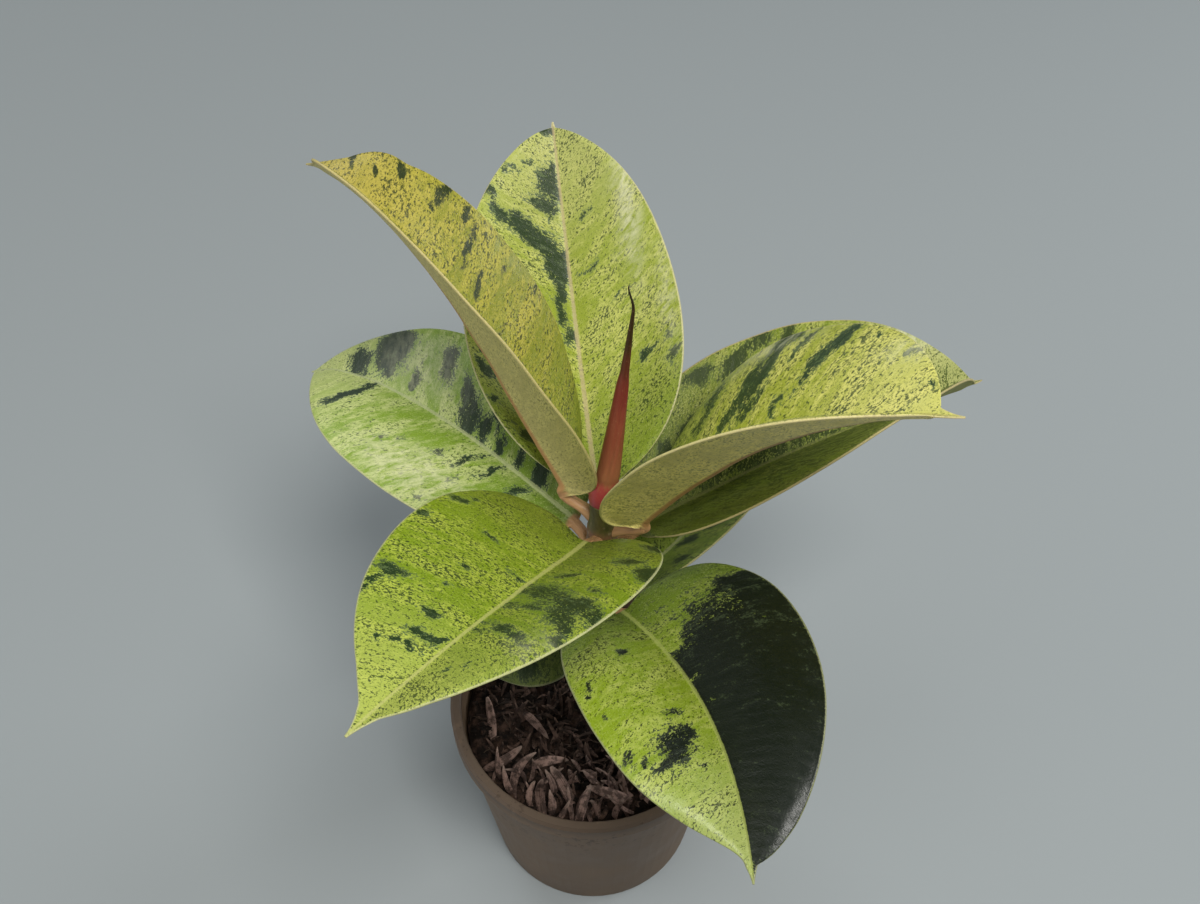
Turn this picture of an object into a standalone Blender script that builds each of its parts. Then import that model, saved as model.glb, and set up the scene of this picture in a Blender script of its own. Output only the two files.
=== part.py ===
"""Variegated rubber plant in a small round pot.

The origin is the centre of the pot's underside, +Z is up, and -Y is the front.
Sizes are in metres and angles in degrees, except where a name says otherwise.
"""

from math import cos, hypot, pi, radians, sin

import bmesh
import bpy
import numpy as np
from mathutils import Vector
from mathutils.geometry import interpolate_bezier

MM = 0.001
GAP = 0.3 * MM

# Pot: a tapered thermoformed cup with a short collar under its flat lip
POT_HEIGHT = 74 * MM
POT_FOOT_RADIUS = 31.5 * MM
POT_BODY_RADIUS = 38.2 * MM
POT_LIP_RADIUS = 40 * MM
POT_MOUTH_RADIUS = 37 * MM
POT_COLLAR_HEIGHT = 6 * MM
POT_WALL = 1.2 * MM
POT_FLOOR = 1.8 * MM
POT_FOOT_ROUNDING = 1.5 * MM
LIP_UNDER_EDGE = 0.5 * MM
LIP_OUTER_EDGE = 0.8 * MM
LIP_MOUTH_EDGE = 0.4 * MM
POT_SIDES = 64
DRAIN_HOLES = 8
DRAIN_HOLE_RADIUS = 2.4 * MM
DRAIN_HOLE_CIRCLE = 21 * MM

# Soil: fills the pot to a little below the lip, with an uneven top
SOIL_TOP = 64.5 * MM
SOIL_UNEVENNESS = 0.6 * MM
SOIL_EDGE_DROP = 1.5 * MM
SOIL_EDGE_WIDTH = 1.2 * MM
SOIL_MOUND_HEIGHT = 1.2 * MM
SOIL_MOUND_RADIUS = 14 * MM
SOIL_SIDES = 48
SOIL_RINGS = 7

# Stem: rises from a socket in the soil, almost straight
STEM_FOOT = 42 * MM
STEM_TOP = 168.5 * MM
STEM_LEAN = 3 * MM
STEM_FOOT_RADIUS = 4 * MM
STEM_TOP_RADIUS = 3 * MM
STEM_SIDES = 12
NODE_RING_SWELL = 0.35 * MM
NODE_RING_HALF_HEIGHT = 1.2 * MM
NODE_RING_DROP = 3 * MM
BARE_NODE_RINGS = (85 * MM, 100 * MM)
LEAST_RING_STEP = 0.5 * MM

# Bud sheath: a slim pointed cone on top of the stem, bent at its tip
SHEATH_HEIGHT = 58 * MM
SHEATH_SIDE_LEAN = 6.5 * MM
SHEATH_BACK_LEAN = 9 * MM
SHEATH_SIDES = 10
SHEATH_FOOT_RADIUS = 2.7 * MM
SHEATH_TIP_RADIUS = 0.2 * MM
SHEATH_RINGS = 8

# Leaves: a stalk and a blade folded along its midrib
STALK_RADIUS = 1.5 * MM
STALK_REACH = 9 * MM
STALK_RINGS = 5
STALK_FOOT_SINK = 4 * MM
STALK_RISE = 0.9
STALK_BEND = 0.35
BLADE_THICKNESS = 0.7 * MM
BLADE_EDGE = 0.4 * MM
MIDRIB_DEPTH = 1.3 * MM
MIDRIB_HALF_WIDTH = 1.1 * MM
LEAST_HALF_WIDTH = 0.25 * MM
BLADE_RINGS = 16
WIDEST_PLACE = 0.46
DRIP_TIP_START = 0.6

# Points of one outline round a leaf: across the upper face of the blade from right to left as shares
# of its half width, and round the stalk as angles from its left
UPPER_PLACES = (-1, -0.5, 0, 0.5, 1)
STALK_ANGLES = (165, 127, 90, 53, 15, -15, -45, -75, -90, -105, -135, -165)

# Each leaf: height of the blade's base on the plant, drop from there to the stem, heading and its
# change along the blade, climb at the base and at the tip with the bend's exponent, length and half
# width, fold of the left and right half, curl of the halves, loss of fold towards the tip, roll and
# twist about the midrib, shift of the widest place and slimness of the tip.
# Lengths are in millimetres. Left and right are as seen from the base, with the upper face up.
LEAVES = {
    "leaf_top_left": dict(
        height=165, drop=5, heading=150, turn=-15, climb=58, climb_tip=-22, bend=2.8, length=101,
        half_width=22.8, fold_left=50, fold_right=29, curl_left=4, curl_right=-5, unfold=0.1, roll=35,
        twist=-25, shift=0.9, slim=0.7,
    ),
    "leaf_top_right": dict(
        height=163, drop=6, heading=-19.5, turn=-2.5, climb=57, climb_tip=24.5, bend=2.2, length=89,
        half_width=31, fold_left=31, fold_right=35, curl_left=-3.5, curl_right=-3.5, unfold=0.15,
        roll=-13, twist=-7.5, shift=1.15, slim=-0.4,
    ),
    "leaf_front_left": dict(
        height=164, drop=9, heading=-113.5, turn=-9.5, climb=42, climb_tip=16, bend=1.3, length=94,
        half_width=25.7, fold_left=26, fold_right=26, curl_left=-4.5, curl_right=-4.5, unfold=0.15,
        roll=0.5, twist=2.5, shift=0.78, slim=1.1,
    ),
    "leaf_back": dict(
        height=159.5, drop=9, heading=97, turn=0.5, climb=7.5, climb_tip=39, bend=0.8, length=96,
        half_width=30.2, fold_left=28, fold_right=32.5, curl_left=8, curl_right=7, unfold=0.1,
        roll=1, twist=-18, shift=0.91, slim=-0.4,
    ),
    "leaf_front_right": dict(
        height=132.5, drop=7, heading=-56.5, turn=-29, climb=28, climb_tip=-4.5, bend=1.9,
        length=85.5, half_width=30, fold_left=32.5, fold_right=33.5, curl_left=1, curl_right=1,
        unfold=0.15, roll=0.5, twist=8, shift=0.92, slim=0.75,
    ),
    "leaf_left": dict(
        height=151.5, drop=6, heading=134.5, turn=15, climb=10, climb_tip=-30, bend=1.6, length=93,
        half_width=26.2, fold_left=8, fold_right=15.5, curl_left=-12, curl_right=-12, unfold=0.15,
        roll=-2, twist=12, shift=0.96, slim=0.3,
    ),
    "leaf_right": dict(
        height=151, drop=6, heading=26, turn=2, climb=9.5, climb_tip=-9, bend=1.1, length=102,
        half_width=31, fold_left=34, fold_right=38, curl_left=-2, curl_right=-2, unfold=-0.5, roll=1,
        twist=-10, shift=0.9, slim=-0.2,
    ),
    "leaf_low_right": dict(
        height=121, drop=5, heading=40, turn=9, climb=14.5, climb_tip=-8, bend=1.4, length=54.5,
        half_width=18.8, fold_left=25, fold_right=35.5, curl_left=-2, curl_right=-2, unfold=0.15,
        roll=-12.5, twist=-7.5, shift=1, slim=0.1,
    ),
    "leaf_low_left": dict(
        height=122, drop=5, heading=-147, turn=1, climb=16.5, climb_tip=-6.5, bend=1.4, length=28,
        half_width=14.5, fold_left=19, fold_right=25, curl_left=-6.5, curl_right=-6.5, unfold=0.15,
        roll=-6, twist=0, shift=1, slim=0.2,
    ),
}

# Husk chips on the soil: place on the soil in millimetres, heading, tilt, length, width
HUSK_CHIPS = [
    (-18, -22, 60, 38, 15, 4.5),
    (-13, -29, 95, 52, 13, 4),
    (-8, -25, 130, 44, 14, 4.5),
    (-25, -15, 25, 20, 13, 4),
    (-2, -30, 70, 30, 12, 3.5),
    (5, -26, 165, 12, 14, 4.5),
    (-12, -17, 10, 8, 12, 4),
    (14, -23, 110, 25, 13, 4),
    (-29, -4, 100, 10, 13, 4),
    (22, -14, 40, 16, 14, 4.5),
    (11, -12, -20, 6, 11, 3.5),
    (-16, -5, -50, 8, 12, 3.5),
    (28, -1, 80, 12, 12, 4),
    (16, 1, -70, 6, 11, 3.5),
]
CHIP_THICKNESS = 1.4 * MM
CHIP_LIFT = 0.35 * MM
CHIP_RINGS = 5
CHIP_SIDES = 6

COLOURS = {
    "pot_plastic": ((0.125, 0.108, 0.090), 0.55),
    "soil": ((0.030, 0.022, 0.018), 0.95),
    "stem_skin": ((0.120, 0.110, 0.045), 0.60),
    "sheath_skin": ((0.250, 0.035, 0.025), 0.40),
    "leaf_skin": ((0.250, 0.380, 0.080), 0.38),
    "husk": ((0.130, 0.095, 0.075), 0.90),
}


def clear_scene():
    for thing in list(bpy.data.objects):
        bpy.data.objects.remove(thing, do_unlink=True)


def material(slot):
    """The Principled material of one finish."""
    found = bpy.data.materials.get(slot)
    if found:
        return found
    colour, roughness = COLOURS[slot]
    made = bpy.data.materials.new(slot)
    made.use_nodes = True
    shader = made.node_tree.nodes["Principled BSDF"]
    shader.inputs["Base Color"].default_value = (*colour, 1)
    shader.inputs["Roughness"].default_value = roughness
    shader.inputs["Metallic"].default_value = 0
    return made


def place(name, mesh, slot, parent):
    """Make an object from a mesh, shaded smooth, with its material and parent."""
    mesh.materials.append(material(slot))
    mesh.shade_smooth()
    mesh.set_sharp_from_angle(angle=radians(40))
    thing = bpy.data.objects.new(name, mesh)
    bpy.context.scene.collection.objects.link(thing)
    thing.parent = parent
    return thing


def loft(name, rings):
    """A closed mesh through equal rings of points, its two ends capped.

    Each ring runs clockwise as seen from the ring after it, so that the faces point out.
    """
    form = bmesh.new()
    loops = [[form.verts.new(point) for point in ring] for ring in rings]
    for ring, following in zip(loops, loops[1:]):
        for i in range(len(ring)):
            j = (i + 1) % len(ring)
            form.faces.new((ring[j], ring[i], following[i], following[j]))
    form.faces.new(loops[0])
    form.faces.new(reversed(loops[-1]))
    bmesh.ops.triangulate(form, faces=[face for face in form.faces if len(face.verts) > 4])
    bmesh.ops.recalc_face_normals(form, faces=form.faces)
    mesh = bpy.data.meshes.new(name)
    form.to_mesh(mesh)
    form.free()
    return mesh


def level_ring(centre, radius, sides):
    """A level circle of points, clockwise from above."""
    turns = [-2 * pi * i / sides for i in range(sides)]
    return [Vector(centre) + Vector((radius * cos(a), radius * sin(a), 0)) for a in turns]


def turned(name, profile, sides):
    """A solid of revolution whose profile starts and ends on the axis."""
    form = bmesh.new()
    verts = [form.verts.new((radius, 0, height)) for radius, height in profile]
    edges = [form.edges.new(pair) for pair in zip(verts, verts[1:])]
    bmesh.ops.spin(form, geom=verts + edges, cent=(0, 0, 0), axis=(0, 0, 1), angle=2 * pi, steps=sides)
    bmesh.ops.remove_doubles(form, verts=form.verts, dist=0.01 * MM)
    bmesh.ops.recalc_face_normals(form, faces=form.faces)
    mesh = bpy.data.meshes.new(name)
    form.to_mesh(mesh)
    form.free()
    return mesh


def pot_outside(height):
    """Radius of the pot's outer wall below its collar."""
    share = height / (POT_HEIGHT - POT_COLLAR_HEIGHT)
    return POT_FOOT_RADIUS + (POT_BODY_RADIUS - POT_FOOT_RADIUS) * share


def pot_inside(height):
    """Radius of the pot's inner wall below its collar."""
    return pot_outside(height) - POT_WALL


def make_pot(parent):
    """The pot: turned wall, lip and floor, with a ring of drainage holes cut through the floor."""
    collar = POT_HEIGHT - POT_COLLAR_HEIGHT
    rounding = [
        (
            POT_FOOT_RADIUS - POT_FOOT_ROUNDING * (1 - sin(turn)),
            POT_FOOT_ROUNDING * (1 - cos(turn)),
        )
        for turn in np.radians((0, 30, 60))
    ]
    profile = [
        (0, 0),
        *rounding,
        (pot_outside(POT_FOOT_ROUNDING), POT_FOOT_ROUNDING),
        (pot_outside(collar), collar),
        (POT_LIP_RADIUS - LIP_UNDER_EDGE, collar),
        (POT_LIP_RADIUS, collar + LIP_UNDER_EDGE),
        (POT_LIP_RADIUS, POT_HEIGHT - LIP_OUTER_EDGE),
        (POT_LIP_RADIUS - LIP_OUTER_EDGE, POT_HEIGHT),
        (POT_MOUTH_RADIUS + LIP_MOUTH_EDGE, POT_HEIGHT),
        (POT_MOUTH_RADIUS, POT_HEIGHT - LIP_MOUTH_EDGE),
        (pot_inside(collar), collar),
        (pot_inside(POT_FLOOR), POT_FLOOR),
        (0, POT_FLOOR),
    ]
    pot = place("nursery_pot", turned("nursery_pot", profile, POT_SIDES), "pot_plastic", parent)
    form = bmesh.new()
    for i in range(DRAIN_HOLES):
        turn = 2 * pi * (i + 0.5) / DRAIN_HOLES
        drill = bmesh.ops.create_cone(
            form, cap_ends=True, segments=12, radius1=DRAIN_HOLE_RADIUS, radius2=DRAIN_HOLE_RADIUS,
            depth=4 * POT_FLOOR,
        )
        shift = (DRAIN_HOLE_CIRCLE * cos(turn), DRAIN_HOLE_CIRCLE * sin(turn), 0)
        bmesh.ops.translate(form, verts=drill["verts"], vec=shift)
    mesh = bpy.data.meshes.new("drain_drills")
    form.to_mesh(mesh)
    form.free()
    drills = bpy.data.objects.new("drain_drills", mesh)
    bpy.context.scene.collection.objects.link(drills)
    drills.hide_render = True
    drills.display_type = "WIRE"
    drills.parent = parent
    cut = pot.modifiers.new("drain_holes", "BOOLEAN")
    cut.operation = "DIFFERENCE"
    cut.solver = "EXACT"
    cut.object = drills


def soil_height(x, y):
    """Height of the soil's uneven top: two crossed waves and a slight mound at the stem."""
    wave = sin(210 * x + 1.1) * cos(160 * y) + 0.6 * sin(330 * y - 140 * x)
    mound = max(0, 1 - hypot(x, y) / SOIL_MOUND_RADIUS)
    return SOIL_TOP + SOIL_UNEVENNESS * wave + SOIL_MOUND_HEIGHT * mound


def make_soil(parent):
    """The soil: a plug as wide as the pot, with the stem's socket sunk in its top."""
    floor = POT_FLOOR + GAP
    edge = SOIL_TOP - SOIL_EDGE_DROP
    socket = STEM_FOOT_RADIUS + 2 * GAP
    rings = [
        level_ring((0, 0, floor), 0.25 * POT_FOOT_RADIUS, SOIL_SIDES),
        level_ring((0, 0, floor), pot_inside(floor) - 2 * GAP, SOIL_SIDES),
        level_ring((0, 0, edge), pot_inside(edge) - GAP, SOIL_SIDES),
    ]
    brim = pot_inside(SOIL_TOP) - GAP - SOIL_EDGE_WIDTH
    for i in range(SOIL_RINGS):
        radius = brim + (socket - brim) * i / (SOIL_RINGS - 1)
        ring = level_ring((0, 0, 0), radius, SOIL_SIDES)
        rings.append([Vector((p.x, p.y, soil_height(p.x, p.y))) for p in ring])
    rings.append(level_ring((0, 0, STEM_FOOT - GAP), socket, SOIL_SIDES))
    place("potting_soil", loft("potting_soil", rings), "soil", parent)


def stem_point(height):
    """Place of the stem's axis at a height."""
    share = (height - STEM_FOOT) / (STEM_TOP - STEM_FOOT)
    return Vector((STEM_LEAN * share, 0, height))


def stem_radius(height):
    """Radius of the stem at a height, between its rings."""
    share = (height - STEM_FOOT) / (STEM_TOP - STEM_FOOT)
    return STEM_FOOT_RADIUS + (STEM_TOP_RADIUS - STEM_FOOT_RADIUS) * share


def joint_height(leaf):
    """Height on the stem at which a leaf's stalk is joined."""
    return (leaf["height"] - leaf["drop"]) * MM


def make_stem(parent):
    """The stem: a tapered rod that swells to a ring under each leaf."""
    heights = {STEM_FOOT, 0.5 * (STEM_FOOT + SOIL_TOP), SOIL_TOP, STEM_TOP}
    ringed = {joint_height(leaf) - NODE_RING_DROP for leaf in LEAVES.values()}
    swell = {}
    for ring in sorted(ringed.union(BARE_NODE_RINGS)):
        for offset, size in ((-1, 0), (0, 1), (1, 0)):
            height = ring + offset * NODE_RING_HALF_HEIGHT
            swell[height] = max(size, swell.get(height, 0))
    rings = []
    for height in sorted(heights | set(swell)):
        if rings and height - rings[-1][0].z < LEAST_RING_STEP:
            continue
        radius = stem_radius(height) + NODE_RING_SWELL * swell.get(height, 0)
        rings.append(level_ring(stem_point(height), radius, STEM_SIDES))
    place("stem", loft("stem", rings), "stem_skin", parent)


def make_sheath(parent):
    """The bud sheath: round rings, ever smaller, along a line that leans right and back."""
    foot = stem_point(STEM_TOP) + Vector((0, 0, GAP))
    rings = []
    for i in range(SHEATH_RINGS + 1):
        share = i / SHEATH_RINGS
        side = SHEATH_SIDE_LEAN * share**0.9
        back = SHEATH_BACK_LEAN * share**1.2
        taper = (1 - share**1.3) ** 1.3
        radius = SHEATH_TIP_RADIUS + (SHEATH_FOOT_RADIUS - SHEATH_TIP_RADIUS) * taper
        centre = foot + Vector((side, back, SHEATH_HEIGHT * share))
        rings.append(level_ring(centre, radius, SHEATH_SIDES))
    place("bud_sheath", loft("bud_sheath", rings), "sheath_skin", parent)


def half_width_share(share, leaf):
    """Blade's half width as a share of its greatest: half an ellipse to the widest place, and from
    there a curve that draws in to a drip tip."""
    place_on_outline = share ** leaf["shift"]
    if place_on_outline < WIDEST_PLACE:
        u = (WIDEST_PLACE - place_on_outline) / WIDEST_PLACE
        width = max(0, 1 - u * u) ** 0.5
    else:
        u = (place_on_outline - WIDEST_PLACE) / (1 - WIDEST_PLACE)
        width = max(0, 1 - u * u) ** (0.5 + 0.5 * u * u)
    slimming = max(0, (share - DRIP_TIP_START) / (1 - DRIP_TIP_START)) ** 2
    return width * (1 - 0.5 * leaf["slim"] * slimming)


def midrib(leaf, count=80):
    """Points along the midrib, worked out from the climb and heading at each step."""
    height = leaf["height"] * MM
    heading = radians(leaf["heading"])
    foot = stem_point(height - STALK_FOOT_SINK) + Vector((0, 0, STALK_FOOT_SINK))
    start = foot + STALK_REACH * Vector((cos(heading), sin(heading), 0))
    points = [start]
    for i in range(count):
        along = direction(leaf, (i + 0.5) / count)
        points.append(points[-1] + along * leaf["length"] * MM / count)
    return points


def direction(leaf, share):
    """Direction of the midrib at a share of its length."""
    climb = radians(leaf["climb"] + (leaf["climb_tip"] - leaf["climb"]) * share ** leaf["bend"])
    heading = radians(leaf["heading"] + leaf["turn"] * share)
    return Vector((cos(climb) * cos(heading), cos(climb) * sin(heading), sin(climb)))


def blade_axes(leaf, share):
    """Directions along the midrib, to the leaf's left, and out of its upper face."""
    along = direction(leaf, share)
    heading = radians(leaf["heading"] + leaf["turn"] * share)
    level = Vector((-sin(heading), cos(heading), 0))
    upright = along.cross(level)
    roll = radians(leaf["roll"] + leaf["twist"] * share)
    left = cos(roll) * level + sin(roll) * upright
    up = cos(roll) * upright - sin(roll) * level
    return along, left, up


def across(leaf, share, side, reach):
    """Offsets to the left and up of a point that lies a share of the way to the margin.

    Each half starts from the midrib at its fold angle and bends by its curl on its way out.
    """
    half = "left" if side > 0 else "right"
    fold = radians(leaf["fold_" + half] * (1 - leaf["unfold"] * share))
    curl = radians(leaf["curl_" + half]) or 1e-4
    out = (sin(fold + curl * reach) - sin(fold)) / curl
    lift = (cos(fold) - cos(fold + curl * reach)) / curl
    return side * out, lift


def blade_ring(leaf, share, centre):
    """One closed outline across the blade: its upper face, then its under face with the midrib."""
    along, left, up = blade_axes(leaf, share)
    greatest = leaf["half_width"] * MM
    width = max(greatest * half_width_share(share, leaf), LEAST_HALF_WIDTH)
    taper = 1 - share
    rib = min(MIDRIB_HALF_WIDTH * (0.25 + 0.75 * taper) / width, 0.3)
    depth = BLADE_THICKNESS + MIDRIB_DEPTH * taper
    thinning = min(1, max(0.4, 4 * width / greatest))
    left_half = ((1, BLADE_EDGE), (0.5, BLADE_THICKNESS), (rib, BLADE_THICKNESS))
    right_half = [(-reach, thickness) for reach, thickness in reversed(left_half)]
    outline = [(reach, 0) for reach in UPPER_PLACES] + [*left_half, (0, depth), *right_half]
    points = []
    for reach, thickness in outline:
        side = 1 if reach >= 0 else -1
        out, lift = across(leaf, share, side, abs(reach))
        points.append(centre + left * width * out + up * (width * lift - thickness * thinning))
    return points


def stalk_rings(leaf, foot_of_blade):
    """Round rings from the stem's skin to the base of the blade, along a smooth bend."""
    along, left, up = blade_axes(leaf, 0)
    joint = stem_point(joint_height(leaf))
    away = foot_of_blade - joint
    level = Vector((away.x, away.y, 0)).normalized()
    start = joint + level * (stem_radius(joint.z) + GAP + 0.7 * STALK_RADIUS)
    end = foot_of_blade - up * STALK_RADIUS * 0.8
    leave = (level + Vector((0, 0, STALK_RISE))).normalized()
    pull = (end - start).length * STALK_BEND
    count = STALK_RINGS + 1
    centres = interpolate_bezier(start, start + leave * pull, end - along * pull, end, count)
    rings = []
    for i, centre in enumerate(centres[:-1]):
        heading = leave.lerp(along, i / STALK_RINGS).normalized()
        side = (left - heading * left.dot(heading)).normalized()
        crown = heading.cross(side)
        angles = [radians(angle) for angle in STALK_ANGLES]
        rings.append([centre + (side * cos(a) + crown * sin(a)) * STALK_RADIUS for a in angles])
    return rings


def make_leaf(name, leaf, parent):
    """A leaf: its stalk's rings and its blade's rings in one loft, closed at the drip tip."""
    points = midrib(leaf)
    rings = stalk_rings(leaf, points[0])
    for i in range(1, BLADE_RINGS + 1):
        share = 0.5 - 0.5 * cos(pi * i / (BLADE_RINGS + 0.6))
        step = share * (len(points) - 1)
        lower = points[int(step)]
        upper = points[min(int(step) + 1, len(points) - 1)]
        rings.append(blade_ring(leaf, share, lower.lerp(upper, step - int(step))))
    place(name, loft(name, rings), "leaf_skin", parent)


def make_chip(name, chip, parent):
    """A husk chip: a flat spindle, tilted, let down until it meets the soil."""
    x, y, heading, tilt, length, width = chip
    heading = radians(heading)
    tilt = radians(tilt)
    along = Vector((cos(tilt) * cos(heading), cos(tilt) * sin(heading), sin(tilt)))
    side = Vector((-sin(heading), cos(heading), 0))
    crown = along.cross(side)
    rings = []
    for i in range(CHIP_RINGS):
        t = (i + 0.25) / (CHIP_RINGS - 0.5)
        swell = sin(pi * t) ** 0.7
        centre = Vector((x * MM, y * MM, 0)) + along * (t - 0.5) * length * MM
        wide = side * swell * width * MM / 2
        thick = crown * swell * CHIP_THICKNESS / 2
        turns = [-2 * pi * k / CHIP_SIDES for k in range(CHIP_SIDES)]
        rings.append([centre + wide * cos(a) + thick * sin(a) for a in turns])
    sunk = max(soil_height(p.x, p.y) - p.z for ring in rings for p in ring)
    raise_by = Vector((0, 0, sunk + CHIP_LIFT))
    rings = [[point + raise_by for point in ring] for ring in rings]
    place(name, loft(name, rings), "husk", parent)


def main():
    clear_scene()
    plant = bpy.data.objects.new("rubber_plant", None)
    bpy.context.scene.collection.objects.link(plant)
    make_pot(plant)
    make_soil(plant)
    make_stem(plant)
    make_sheath(plant)
    for name, leaf in LEAVES.items():
        make_leaf(name, leaf, plant)
    for i, chip in enumerate(HUSK_CHIPS, 1):
        make_chip(f"husk_chip_{i:02d}", chip, plant)


main()
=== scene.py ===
"""A young variegated rubber plant in a small plastic nursery pot.

Metres, +Z up, the pot's underside on the floor, -Y towards the camera.
"""

import bpy
import numpy as np
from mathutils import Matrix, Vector


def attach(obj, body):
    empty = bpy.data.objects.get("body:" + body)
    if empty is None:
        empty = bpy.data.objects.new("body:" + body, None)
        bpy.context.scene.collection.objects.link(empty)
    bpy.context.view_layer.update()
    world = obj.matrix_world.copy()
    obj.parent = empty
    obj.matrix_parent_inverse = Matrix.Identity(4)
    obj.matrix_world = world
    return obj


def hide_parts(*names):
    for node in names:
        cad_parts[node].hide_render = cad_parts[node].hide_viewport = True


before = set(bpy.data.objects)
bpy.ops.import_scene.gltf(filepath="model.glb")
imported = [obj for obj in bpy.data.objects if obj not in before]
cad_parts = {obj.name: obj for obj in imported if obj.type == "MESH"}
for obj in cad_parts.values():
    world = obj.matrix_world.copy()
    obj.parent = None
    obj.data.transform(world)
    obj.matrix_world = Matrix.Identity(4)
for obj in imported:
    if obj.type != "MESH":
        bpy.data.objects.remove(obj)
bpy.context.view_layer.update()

# The pot.
# A tapered cup pressed from a sheet of taupe-grey plastic, with a turned-out lip and no seam.
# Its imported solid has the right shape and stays; only its finish is made here.
MM = 0.001
POT_COLOUR = (0.112, 0.072, 0.043)
POT_LIGHTER = (0.148, 0.101, 0.065)
POT_LIP_COLOUR = (0.084, 0.058, 0.039)
POT_DUST = (0.060, 0.040, 0.026)
LIP_BOTTOM = 68 * MM


class Finish:
    """One procedural material: its Principled shader, and short ways to add nodes that feed it."""

    def __init__(self, name, **constants):
        self.material = bpy.data.materials.new(name)
        self.material.use_nodes = True
        self.tree = self.material.node_tree
        self.shader = self.tree.nodes["Principled BSDF"]
        for socket, value in constants.items():
            self.shader.inputs[socket.replace("_", " ")].default_value = value

    def add(self, kind, inputs, **settings):
        """A node with its settings; each input is a number, a colour or another node's socket."""
        node = self.tree.nodes.new("ShaderNode" + kind)
        for setting, value in settings.items():
            setattr(node, setting, value)
        for socket, value in inputs.items():
            if isinstance(value, bpy.types.NodeSocket):
                self.tree.links.new(value, node.inputs[socket])
            elif node.inputs[socket].type == "RGBA":
                node.inputs[socket].default_value = (*value, 1)
            else:
                node.inputs[socket].default_value = value
        return node

    def place(self):
        """Object coordinates, in metres."""
        return self.add("TexCoord", {}).outputs["Object"]

    def field(self, name):
        """The three numbers of a field that the mesh carries, as sockets."""
        vector = self.add("Attribute", {}, attribute_name=name).outputs["Vector"]
        return self.add("SeparateXYZ", {"Vector": vector}).outputs

    def stretch(self, vector, scale):
        """Coordinates multiplied by three numbers, so that a pattern is long one way."""
        return self.add("Mapping", {"Vector": vector, "Scale": scale}).outputs["Vector"]

    def noise(self, vector, scale, detail=2.0, roughness=0.5, distortion=0.0):
        """Clouds round 0.5. With three scales the pattern is longer where the scale is smaller."""
        if isinstance(scale, tuple):
            vector = self.stretch(vector, scale)
            scale = 1
        inputs = {"Vector": vector, "Scale": scale, "Detail": detail}
        inputs |= {"Roughness": roughness, "Distortion": distortion}
        return self.add("TexNoise", inputs).outputs["Fac"]

    def cells(self, vector, scale):
        """The distance to the nearest of many scattered points."""
        return self.add("TexVoronoi", {"Vector": vector, "Scale": scale}).outputs["Distance"]

    def maths(self, operation, first, second=0.0, third=0.0):
        """One sum worked out at every point of the surface."""
        inputs = {0: first, 1: second, 2: third}
        return self.add("Math", inputs, operation=operation).outputs[0]

    def times(self, value, factor, more=0.0):
        """The value times the factor, and more added to it."""
        return self.maths("MULTIPLY_ADD", value, factor, more)

    def step(self, value, start, end, low=0.0, high=1.0):
        """A smooth step from low, where value is at start, to high, where it is at end."""
        inputs = {"Value": value, "From Min": start, "From Max": end, "To Min": low, "To Max": high}
        return self.add("MapRange", inputs, interpolation_type="SMOOTHSTEP").outputs[0]

    def mix(self, share, first, second):
        """Goes from the first colour to the second as share goes from 0 to 1."""
        return self.add("Mix", {0: share, 6: first, 7: second}, data_type="RGBA").outputs[2]

    def paint(self, first, second, value, start, end, most=1.0):
        """Lays the second colour over the first: none where value is at start, most of it at end."""
        return self.mix(self.step(value, start, end, 0.0, most), first, second)

    def bump(self, height, depth, strength=1.0, before=None):
        """A normal bent by a height field that is depth metres deep."""
        inputs = {"Height": height, "Distance": depth, "Strength": strength}
        if before:
            inputs["Normal"] = before
        return self.add("Bump", inputs).outputs["Normal"]

    def feed(self, **sockets):
        """Joins sockets to the shader's inputs."""
        for name, socket in sockets.items():
            self.tree.links.new(socket, self.shader.inputs[name.replace("_", " ")])


def pot_finish():
    """Matte pressed plastic: faint clouding, drips and dust under the lip, a fine pressed grain."""
    finish = Finish("pot_plastic_matte", Roughness=0.5, Specular_IOR_Level=0.3)
    place = finish.place()
    height = finish.add("SeparateXYZ", {"Vector": place}).outputs["Z"]
    clouds = finish.noise(place, 55, 4, 0.6)
    colour = finish.paint(POT_COLOUR, POT_LIGHTER, clouds, 0.35, 0.7)
    colour = finish.paint(colour, POT_LIP_COLOUR, height, LIP_BOTTOM + 1 * MM, LIP_BOTTOM + 5.5 * MM)
    drips = finish.noise(place, (260, 260, 38), 3, 0.6)
    near_lip = finish.step(height, 30 * MM, 72 * MM)
    drips = finish.times(finish.step(drips, 0.58, 0.72, 0.0, 0.35), near_lip)
    colour = finish.mix(drips, colour, POT_LIGHTER)
    specks = finish.noise(place, 620, 2, 0.6)
    patches = finish.noise(place, 70, 2)
    dust = finish.step(finish.times(patches, 0.35, specks), 0.80, 0.86)
    dust = finish.times(dust, near_lip)
    colour = finish.mix(dust, colour, POT_DUST)
    grain = finish.noise(place, 2200, 2, 0.6)
    scuffs = finish.noise(place, (300, 300, 60), 4, 0.7)
    normal = finish.bump(grain, 0.03 * MM, 0.5)
    normal = finish.bump(scuffs, 0.08 * MM, 0.35, normal)
    finish.feed(Base_Color=colour, Normal=normal)
    finish.feed(Roughness=finish.step(clouds, 0.3, 0.7, 0.44, 0.60))
    return finish.material


pot_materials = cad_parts["nursery_pot"].data.materials
pot_materials.clear()
pot_materials.append(pot_finish())

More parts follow.
